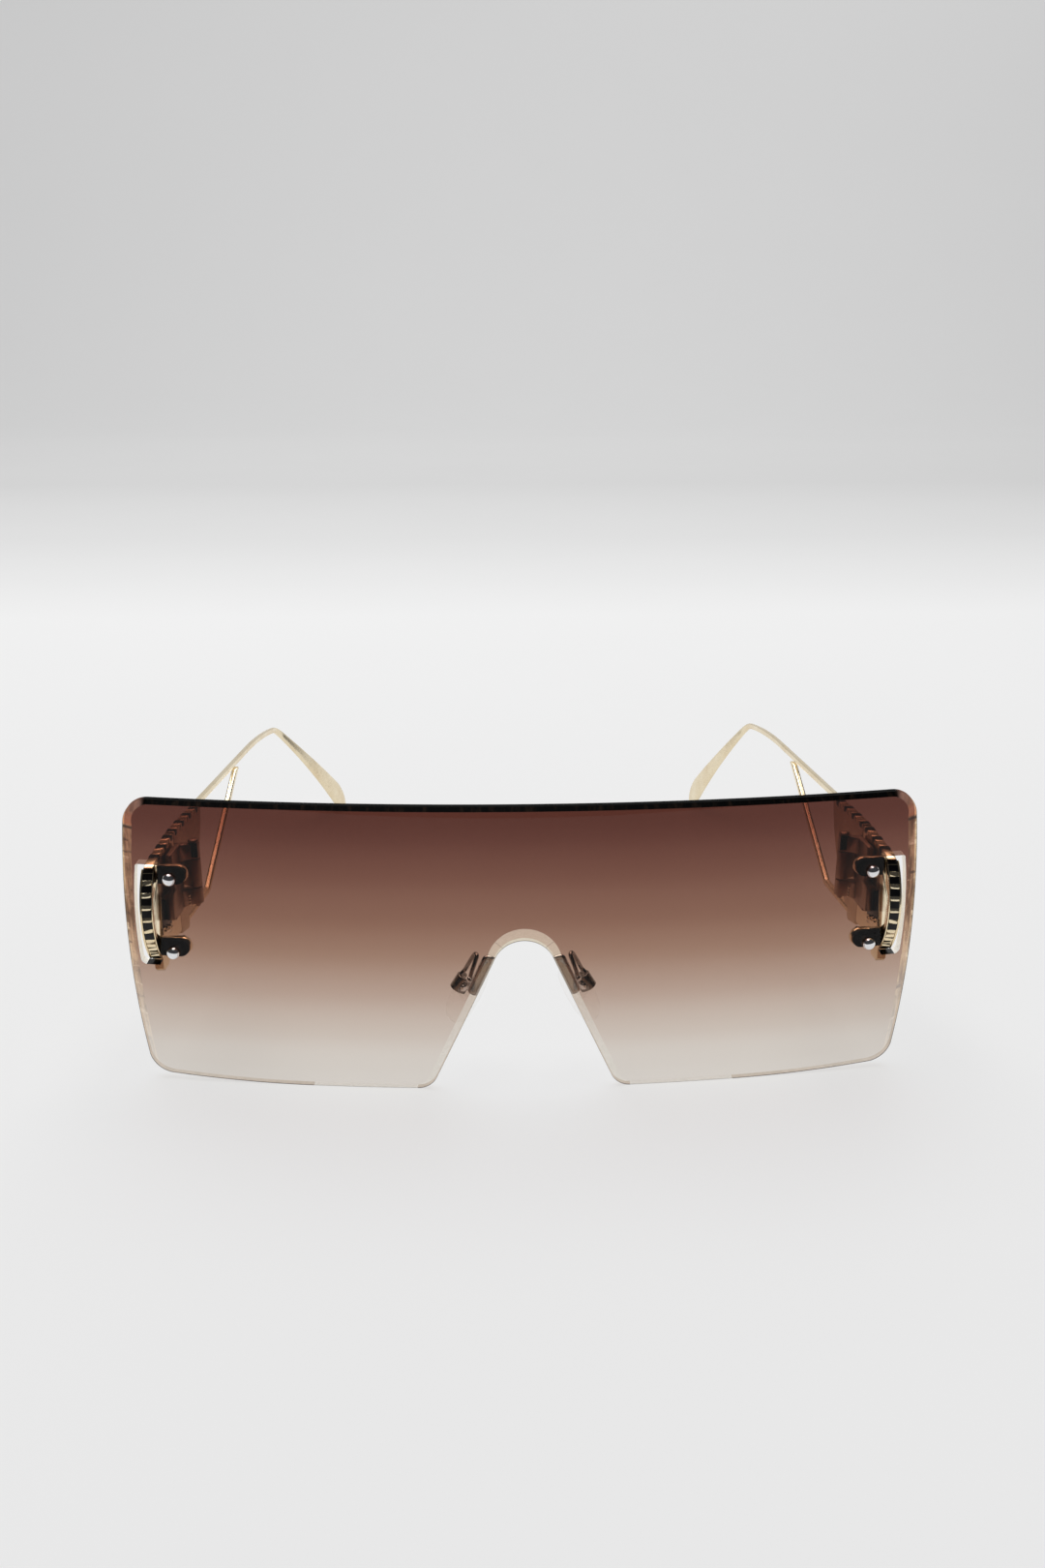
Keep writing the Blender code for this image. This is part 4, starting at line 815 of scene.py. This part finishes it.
def cuts_along(path, first, last, side=1):
    """Distances of the notches' edges along a path, and a function that gives a point by distance and depth."""
    lengths = [0.0]
    for a, b in zip(path, path[1:]):
        lengths.append(lengths[-1] + math.dist(a, b))

    def at(d, sunk):
        i = max(k for k in range(len(path) - 1) if lengths[k] <= d or k == 0)
        a, b = Vector(path[i]), Vector(path[i + 1])
        along = (b - a).normalized()
        p = a + along * (d - lengths[i]) + Vector((along.y, -along.x)) * side * sunk
        return (p.x, p.y)

    count = round((last - first) / TOOTH_PITCH)
    pitch = (last - first) / count
    middles = [first + pitch * (i + 0.5) for i in range(count)]
    return middles, at


def notch_fill(bm, at, middle, half, top, bottom, low, high, place, edge=0.05):
    """A small block that fills a notch from its floor to a given depth below the border."""
    loop = [at(middle - half, top), at(middle - half, bottom), at(middle + half, bottom), at(middle + half, top)]
    slab(bm, rounded(loop, low, high, edge, 2), place)


def borders():
    """(label, path, first, last) of every notched border of a side."""
    low = -math.degrees(math.asin((FRONT_ARC_W - TONGUE_FOOT) / FRONT_ARC_RADIUS))
    high = math.degrees(math.asin((43.2 - FRONT_ARC_W) / FRONT_ARC_RADIUS))
    front = arc((FRONT_ARC_U, FRONT_ARC_W), FRONT_ARC_RADIUS, 180 - low, 180 - high, 24)
    length = math.radians(high - low) * FRONT_ARC_RADIUS
    brow = straight(BROW_START, (PLATE_REAR, BROW_REAR), 12)
    crest = []
    for i in range(13):
        t = (PLATE_LENGTH - 0.4) * i / 12
        crest.append((t, PLATE_CREST - 0.004 * (t - PLATE_CREST_AT) ** 2))
    crest_length = sum(math.dist(a, b) for a, b in zip(crest, crest[1:]))
    return (
        ("front", front, 1.0, length - 0.5),
        ("brow", brow, 1.5, math.dist(brow[0], brow[-1]) - 0.2),
        ("crest", crest, 0.3, crest_length - 0.9),
    )


def make_inlays():
    for side, name in SIDES:
        for label, path, first, last in borders():
            middles, at = cuts_along(path, first, last)
            if label == "crest":
                body = name + "_temple"
                low, high = 0.0, TEMPLE_THICK

                def place(a, b, h, side=side):
                    return temple_world(side, a, h, b)
            else:
                body = "front"
                low, high = PLATE_OUT, PLATE_IN

                def place(a, b, h, side=side):
                    return lean_world(-side * h, a, b)
            half = TOOTH_GAP / 2 + 0.03
            dark, rails = bmesh.new(), bmesh.new()
            if label == "front":
                # Two gold rails run along the notched edge, one on each face of the plate.
                steps = [first - 0.9 + (last + 0.4 - first + 0.9) * k / 40 for k in range(41)]
                edge_loop = [at(d, 0.03) for d in steps] + [at(d, 0.85) for d in steps[::-1]]
                slab(rails, rounded(edge_loop, low - 0.40, low - 0.01, 0.1, 3), place)
                slab(rails, rounded(edge_loop, high + 0.01, high + 0.25, 0.09, 3), place)
            for number, middle in enumerate(middles):
                if label == "front" and number < 2:
                    # The lowest notches of the front are filled flush, with a hair line left at each side.
                    notch_fill(rails, at, middle, half - 0.14, 0.05, TOOTH_DEPTH + 0.03, low + 0.06, high - 0.06, place)
                elif label == "front":
                    notch_fill(dark, at, middle, 0.64, -0.03, TOOTH_DEPTH + 0.03, low - 0.005, high + 0.005, place)
                elif number % 2:
                    # Along the top, every other notch is filled with gold, the ones between carry a wider black block.
                    notch_fill(rails, at, middle, half - 0.03, 0.04, TOOTH_DEPTH + 0.03, low + 0.04, high - 0.04, place)
                else:
                    notch_fill(dark, at, middle, 0.66, -0.03, TOOTH_DEPTH + 0.03, low - 0.03, high + 0.03, place)
            if label == "front":
                notch_fill(dark, at, last + 0.12, 0.5, -0.03, 0.7, low - 0.005, high + 0.005, place)
            piece(dark, name + "_" + label + "_inlay", MATS["enamel"], body, (), 40.0)
            piece(rails, name + "_" + label + "_rails", MATS["gold"], body, (), 40.0)


# ---------------------------------------------------------------- end pieces, hinges

def make_end_details():
    for side, name in SIDES:
        # Black inset panel on the front of the upper knuckle, a painted dark reflection standing in for the dark room
        # that the polished knuckle mirrors.
        bm = bmesh.new()
        low, high = KNUCKLES[2]
        middle = lean_world(-side * HINGE_X, HINGE_U, 0)
        stand = Matrix.Translation(Vector(middle) * MM) @ Matrix.Rotation(-LEAN, 4, "X")
        across = -side * (HINGE_X + 0.2)
        panel = [(across - 0.82, low + 0.3), (across + 0.82, low + 0.3), (across + 0.82, high + 0.2), (across - 0.82, high + 0.2)]
        slab(bm, rounded(panel, HINGE_U - KNUCKLE_RADIUS - 0.12, HINGE_U - KNUCKLE_RADIUS + 0.25, 0.06, 2),
             lambda x, w, u: lean_world(x, u, w))
        piece(bm, name + "_hinge_dark_reflection", MATS["enamel"], "front", (), 32.0)
        # Bright beads beside the lowest knuckle and at the foot of the dark panel.
        bm = bmesh.new()
        for k in range(4):
            ball(bm, lean_world(-side * (HINGE_X - 1.3), HINGE_U - 1.5, KNUCKLES[0][0] + 0.2 + 0.6 * k), 0.36, 16)
        piece(bm, name + "_hinge_beads", MATS["bead"], "front", (), 60.0)
        bm = bmesh.new()
        for k in range(5):
            ball(bm, lean_world(-side * (PLATE_IN + 0.42), 8.5 + 0.95 * k, 29.65 - 0.22 * k + 0.4 * (k % 2)), 0.33, 16)
        piece(bm, name + "_plate_beads", MATS["bead"], "front", (), 60.0)
        # Dark panel on the plate's inner face, a painted dark reflection, with a gold frame and a glittering foot.
        corners = [(7.0, 29.2), (8.4, 36.1), (15.0, 32.9), (13.4, 27.6)]
        foot = [(7.0, 29.2), (7.3, 30.6), (13.75, 29.1), (13.4, 27.6)]
        for label, loop, grow, low_x, high_x, mat, slot in (
            ("frame", corners, -0.30, 0.05, 0.09, "gold", "pale_gold"),
            ("panel", corners, 0.05, 0.08, 0.15, "enamel", "black_gasket"),
            ("foot", foot, 0.12, 0.12, 0.30, "sparkle", "pale_gold"),
        ):
            bm = bmesh.new()
            slab(bm, rounded(inset(loop, grow), PLATE_IN + low_x - 0.1, PLATE_IN + high_x, 0.03, 2),
                 lambda u, w, x: lean_world(-side * x, u, w))
            piece(bm, name + "_plate_" + label, MATS[mat], "front", (), 40.0)
        dress(name + "_hinge_front_leaf", MATS["satin"])
        dress(name + "_hinge_rear_leaf", MATS["satin"])
        dress(name + "_end_piece", MATS["gold"])
        dress(name + "_temple_plate", MATS["plate"])
        # Hinge screw with a domed head.
        low, high = KNUCKLES[0][0] - 0.9, KNUCKLES[2][1]
        profile = [(0, low), (0.3, low + 0.05), (0.42, low + 0.15), (0.5, low + 0.4), (0.5, high + 0.15), (1.0, high + 0.15),
                   (1.05, high + 0.2), (1.05, high + 0.38), (0.95, high + 0.6), (0.75, high + 0.75), (0.4, high + 0.83), (0, high + 0.85)]
        bm = bmesh.new()
        turned(bm, profile, stand, 40)
        piece(bm, name + "_hinge_pin", MATS["satin"], "front", [name + "_hinge_screw"], 32.0)


# ---------------------------------------------------------------- temple arms and struts

def arm_path(curl_in, drop, fine=3):
    inset_s, middle = BAR_MIDDLE
    start = PLATE_LENGTH + 0.35
    count = 5 * fine
    points = [(Vector((start + (EASE_AT - start) * i / count, inset_s, middle)), 0.0, 0.0, 0.0) for i in range(count + 1)]
    turn_length = BEND_RADIUS * BEND_ANGLE
    stops = [EASE_LENGTH * i / (6 * fine) for i in range(1, 6 * fine + 1)]
    stops += [EASE_LENGTH + turn_length * i / (8 * fine) for i in range(1, 8 * fine + 1)]
    base = EASE_LENGTH + turn_length
    stops += [base + drop * i / (12 * fine) for i in range(1, 11 * fine)]
    stops += [base + drop * (11 / 12 + (1 / 12) * math.sin(math.pi / 2 * i / 12)) for i in range(0, 13)]
    here, done = points[-1][0].copy(), 0.0
    for stop in stops:
        for k in range(8):
            at = done + (stop - done) * (k + 0.5) / 8
            bent = min(1.0, max(0.0, (at - EASE_LENGTH) / turn_length))
            share = max(0.0, (at - EASE_LENGTH) / (turn_length + drop))
            down = EASE_ANGLE * min(1.0, at / EASE_LENGTH) + BEND_ANGLE * bent
            curl = curl_in * bent - CURL_BACK * share
            step = Vector((math.cos(down) * math.cos(curl), math.sin(curl), -math.sin(down) * math.cos(curl)))
            here = here + step * ((stop - done) / 8)
        done = stop
        points.append((here.copy(), down, curl, share))
    return points


def make_arm(side, name):
    path = arm_path(CURL_IN[1 if side > 0 else 0], DROP_LENGTH[1 if side > 0 else 0])
    sides = 28
    rings = []
    last = len(path) - 1
    for point, down, curl, share in path:
        along = Vector((math.cos(down) * math.cos(curl), math.sin(curl), -math.sin(down) * math.cos(curl)))
        face = Vector((-math.cos(down) * math.sin(curl), math.cos(curl), math.sin(down) * math.sin(curl)))
        across = face.cross(along)
        grow = min(1.0, share * 1.15) ** 1.35
        wide = BAR_HEIGHT + (PADDLE_WIDTH - BAR_HEIGHT) * grow
        thick = BAR_WIDTH + (PADDLE_THICK - BAR_WIDTH) * grow
        left = (path[last][0] - point).length / 7.0
        if left < 1:
            wide *= math.sqrt(max(0.02, 1 - (1 - left) ** 2))
            thick *= 1 - 0.4 * (1 - left) ** 3
        ring = []
        for k in range(sides):
            angle = 2 * math.pi * (k + 0.5) / sides
            a = math.copysign(abs(math.cos(angle)) ** 0.6, math.cos(angle))
            b = math.copysign(abs(math.sin(angle)) ** 0.6, math.sin(angle))
            p = point + across * (a * wide / 2) + face * (b * thick / 2)
            ring.append(Vector(temple_world(side, p.x, p.y, p.z)) * MM)
        rings.append(ring)
    bm = bmesh.new()
    loft(bm, rings)
    piece(bm, name + "_arm", MATS["gold_fine"], name + "_temple", [name + "_temple_arm"], 45.0)


def make_strut(side, name):
    half = STRUT_WIDTH / 2
    foot = STRUT_BEND[1]
    level = BAR_MIDDLE[1] - BAR_HEIGHT / 2 - 0.25
    bend, top = Vector(STRUT_BEND), Vector((STRUT_TOP_T, level))
    up = (top - bend).normalized()
    normal = Vector((-up.y, up.x))
    turn = math.atan2(up.y, up.x)

    def on_level(point):
        return (point.x + up.x * (level - point.y) / up.y, level)

    radius = 2.4
    middle = (bend.x - radius * math.tan(turn / 2), foot + half + radius)
    inner = arc(middle, radius, 270, 270 + math.degrees(turn), 12)
    outer = arc(middle, radius + STRUT_WIDTH, 270 + math.degrees(turn), 270, 12)
    start = 5.55
    loop = [(start, foot + half)] + inner
    loop += [Vector(inner[-1]).lerp(Vector(on_level(bend + normal * half)), k / 8)[:] for k in range(1, 9)]
    loop += [Vector(on_level(bend - normal * half)).lerp(Vector(outer[0]), k / 8)[:] for k in range(0, 8)]
    loop += outer + [(start, foot - half)]
    bm = bmesh.new()
    slab(bm, rounded(loop, STRUT_INSET - 0.4, STRUT_INSET + STRUT_THICK, 0.45, 5),
         lambda t, w, s: temple_world(side, t, s, w))
    piece(bm, name + "_strut", MATS["sparkle"], name + "_temple", [name + "_temple_strut"], 50.0)


# ---------------------------------------------------------------- nose pads

def pad_frame():
    up = Vector(PAD_LONG).normalized()
    across = Vector(PAD_ACROSS)
    across = (across - up * across.dot(up)).normalized()
    normal = across.cross(up)
    rot = Matrix((normal, across, up)).transposed().to_4x4()
    place = Vector(PAD_CENTRE) - Vector((0, Y_CENTRE, 0))
    return Matrix.Translation(place * MM) @ rot


def side_matrix(side):
    return Matrix.Identity(4) if side < 0 else Matrix.Scale(-1, 4, (1, 0, 0))


def smooth_route(points, per_span):
    points = [Vector(p) for p in points]
    ext = [points[0] * 2 - points[1]] + points + [points[-1] * 2 - points[-2]]
    route = []
    for i in range(1, len(ext) - 2):
        p0, p1, p2, p3 = ext[i - 1 : i + 3]
        for k in range(per_span):
            t = k / per_span
            route.append(0.5 * (2 * p1 + (p2 - p0) * t + (2 * p0 - 5 * p1 + 4 * p2 - p3) * t * t
                                + (3 * p1 - p0 - 3 * p2 + p3) * t**3))
    route.append(points[-1])
    return route


def wire(bm, points, radius, sides=16, round_ends=True):
    """Round wire along points (mm, row frame), with domed ends."""
    stations = [(p, radius) for p in points]
    if round_ends:
        first, last = (points[0] - points[1]).normalized(), (points[-1] - points[-2]).normalized()
        cap = [(math.sin(a), math.cos(a)) for a in (math.pi / 2 * k / 4 for k in range(1, 5))]
        stations = [(points[0] + first * radius * s, radius * max(c, 0.08)) for s, c in cap[::-1]] + stations
        stations += [(points[-1] + last * radius * s, radius * max(c, 0.08)) for s, c in cap]
    rings = []
    ahead = None
    for i, (p, r) in enumerate(stations):
        a = stations[max(0, i - 1)][0]
        b = stations[min(len(stations) - 1, i + 1)][0]
        along = (b - a).normalized()
        if ahead is None:
            ahead = along.orthogonal().normalized()
        ahead = (ahead - along * ahead.dot(along)).normalized()
        other = along.cross(ahead)
        rings.append([(p + (ahead * math.cos(2 * math.pi * k / sides) + other * math.sin(2 * math.pi * k / sides)) * r) * MM
                      for k in range(sides)])
    loft(bm, rings)


def ball(bm, centre, radius, steps=24):
    profile = [(radius * math.sin(math.pi * k / 14), -radius * math.cos(math.pi * k / 14)) for k in range(15)]
    profile[0], profile[-1] = (0.0, -radius), (0.0, radius)
    turned(bm, profile, Matrix.Translation(Vector(centre) * MM), steps)


def make_nose(side, name):
    frame_m = side_matrix(side) @ pad_frame()
    flip = side_matrix(side)
    foot = Vector((0, Y_CENTRE, 0))

    # Bracket: a curved polished strip that stands on the back of the lens beside the nose edge.
    edge = Vector((-math.sin(math.radians(24.4)), math.cos(math.radians(24.4))))
    out = Vector((math.cos(math.radians(24.4)), math.sin(math.radians(24.4))))

    def at(height, off):
        p = Vector((NOSE_FOOT, 0)) + edge * (height / edge.y) + out * off
        return (-p.x, p.y)

    loop = [at(18.9, -0.3), at(18.65, 0.25), at(18.65, 0.85), at(18.85, 1.4)]
    loop += [at(19.2 + 6.5 * k / 10, 1.8) for k in range(0, 11)]
    loop += [at(26.15, 1.55), at(26.45, 1.0), at(26.55, 0.3), at(26.5, -0.3)]
    bm = bmesh.new()

    def on_back(x, z, h):
        p = flip @ Vector((x, lens_y(x, z) + h - Y_CENTRE, z))
        return tuple(p)

    slab(bm, rounded(loop, LENS_THICKNESS + 0.15, LENS_THICKNESS + 1.05, 0.42, 6), on_back)
    piece(bm, name + "_bracket", MATS["steel"], "front", [name + "_pad_bracket"], 60.0)

    # Bent wire: up beside the bracket, over, and down to the pad box.
    base = pad_frame()
    box_top = base @ (Vector((-PIVOT_BACK - 1.0, 0, PIVOT_UP + BOX_HALF + 0.22)) * MM) / MM + foot
    near_box = base @ (Vector((-PIVOT_BACK - 0.8, 0, PIVOT_UP + BOX_HALF + 1.45)) * MM) / MM + foot
    route = [(-10.05, 4.15, 21.5), (-9.75, 4.25, 22.8), (-9.2, 4.6, 24.4), (-8.75, 5.35, 25.6),
             (-9.15, 6.35, 25.4), (-10.1, 7.4, 23.3), near_box, box_top]
    points = [flip @ (Vector(p) - foot) for p in smooth_route(route, 10)]
    bm = bmesh.new()
    wire(bm, points, ARM_WIRE)
    piece(bm, name + "_pad_wire", MATS["gunmetal"], "front", [name + "_pad_arm"], 60.0)

    # Solder bead where the wire meets the bracket.
    bm = bmesh.new()
    ball(bm, flip @ (Vector((-10.1, 4.1, 21.4)) - foot), 0.62)
    piece(bm, name + "_solder_bead", MATS["chrome"], "front", (), 60.0)

    dress(name + "_pad_box", MATS["gunmetal"])
    dress(name + "_pad_core", MATS["insert"])
    profile = [(0, -2.15), (0.2, -2.14), (0.45, -2.08), (0.66, -1.95), (0.75, -1.85), (0.75, -1.67), (0.72, -1.65), (0.35, -1.65),
               (0.35, 1.6), (0.3, 1.7), (0, 1.75)]
    pivot = base @ Matrix.Translation(Vector((-PIVOT_BACK, 0, PIVOT_UP)) * MM)
    bm = bmesh.new()
    turned(bm, profile, flip @ pivot @ Matrix.Rotation(math.radians(-90), 4, "X"), 32)
    piece(bm, name + "_pad_pin", MATS["chrome"], "front", [name + "_pad_screw"], 35.0)

    # Soft pad: D-shaped, crowned on the nose side, thin rolled rim at the back.
    outline = []
    for i in range(64):
        angle = 2 * math.pi * i / 64
        y = PAD_HALF_WIDTH * math.copysign(abs(math.cos(angle)) ** 0.8, math.cos(angle))
        z = PAD_HALF_LENGTH * math.copysign(abs(math.sin(angle)) ** 0.85, math.sin(angle))
        outline.append((y * (1.0 - 0.12 * z / PAD_HALF_LENGTH), z - PIVOT_UP))
    back, front = PIVOT_BACK - PAD_THICK / 2, PIVOT_BACK + PAD_THICK / 2
    rings = [(inset(outline, 0.85), back + 0.12), (inset(outline, 0.62), back), (inset(outline, 0.38), back + 0.04),
             (inset(outline, 0.16), back + 0.2), (outline, back + 0.55), (outline, front - 1.0),
             (inset(outline, 0.12), front - 0.72), (inset(outline, 0.4), front - 0.42),
             (inset(outline, 0.85), front - 0.17), (inset(outline, 1.5), front)]
    bm = bmesh.new()
    to_pad = flip @ pivot
    recess = [(-1.55, -3.25), (-1.35, -3.45), (1.35, -3.45), (1.55, -3.25), (1.55, 2.05), (1.35, 2.25), (-1.35, 2.25), (-1.55, 2.05)]
    loop_rings = []
    for ring, height in rings:
        loop_rings.append(([(a, b) for a, b in ring], height))
    slab(bm, loop_rings, lambda y, z, x: tuple((to_pad @ (Vector((x, y, z)) * MM)) / MM))
    made = piece(bm, name + "_pad", MATS["silicone"], name + "_pad", [name + "_nose_pad"], 60.0)


# ---------------------------------------------------------------- stage

def stage():
    made, nt = tree("table_white_glow")
    place = put(nt, "ShaderNodeTexCoord").outputs["Object"]
    fine = noise(nt, place, 9.0, 3.0)
    tone = mix_colour(nt, ranged(nt, fine, 0.3, 0.7), rgb(0.25, 0.25, 0.248), rgb(0.255, 0.255, 0.253))
    diffuse = put(nt, "ShaderNodeBsdfDiffuse", {0: tone})
    # Painted light: the table glows, evenly near the object and a little less further back.
    level = ranged(nt, put(nt, "ShaderNodeSeparateXYZ", {0: place}).outputs[1], 0.0, 2.0)
    ramp = put(nt, "ShaderNodeValToRGB", {0: level})
    stops = ramp.color_ramp.elements
    glow = ((0.0, 0.605), (0.16, 0.60), (0.205, 0.54), (0.275, 0.46), (0.42, 0.385), (0.6, 0.42), (0.95, 0.46))
    while len(stops) < len(glow):
        stops.new(0.5)
    for stop, (at, value) in zip(stops, glow):
        stop.position = at
        stop.color = rgb(value, value, value * 1.003)
    light = put(nt, "ShaderNodeEmission", {"Color": ramp.outputs[0], "Strength": 1.0})
    both = put(nt, "ShaderNodeAddShader", {0: diffuse.outputs[0], 1: light.outputs[0]})
    output(nt, both.outputs[0])
    # Table top and a backdrop that rises from its far end in one sweep.
    section = [(-0.485, -0.012), (-0.465, 0.0)] + [(-0.465 + 1.865 * k / 10, 0.0) for k in range(1, 11)]
    section += [(1.4 + 0.5 * math.sin(a), 0.5 - 0.5 * math.cos(a)) for a in (math.pi / 2 * k / 12 for k in range(1, 13))]
    section += [(1.9, 0.5 + 1.2 * k / 4) for k in range(1, 5)]
    bm = bmesh.new()
    rows = [[bm.verts.new((x, y, z)) for x in (-1.8, -0.9, 0.0, 0.9, 1.8)] for y, z in section]
    for near, far in zip(rows, rows[1:]):
        for k in range(4):
            bm.faces.new((near[k], near[k + 1], far[k + 1], far[k]))
    mesh = bpy.data.meshes.new("table_sweep")
    bm.to_mesh(mesh)
    bm.free()
    mesh.shade_smooth()
    mesh.materials.append(made)
    floor = bpy.data.objects.new("table_sweep", mesh)
    bpy.context.scene.collection.objects.link(floor)

    world = bpy.data.worlds.new("studio")
    world.use_nodes = True
    world.node_tree.nodes["Background"].inputs[0].default_value = (0.045, 0.046, 0.05, 1)
    world.node_tree.nodes["Background"].inputs[1].default_value = 1.0
    bpy.context.scene.world = world
    area_light("softbox_top", (-0.10, 0.52, 1.25), (-0.02, 0.25, 0.0), (1.5, 0.95), 17.0)
    area_light("softbox_back", (0.1, 1.25, 1.05), (0.0, 1.5, 0.2), (2.4, 0.5), 5.0)
    area_light("softbox_front", (0.0, -0.10, 1.6), (0.0, -0.15, 0.0), (0.8, 0.3), 3.0)
    bpy.context.scene.view_settings.view_transform = "Standard"
    bpy.context.scene.view_settings.look = "None"


camera()
stage()
make_lens()
make_fasteners()
make_inlays()
make_end_details()
for side, name in SIDES:
    make_arm(side, name)
    make_strut(side, name)
    make_nose(side, name)
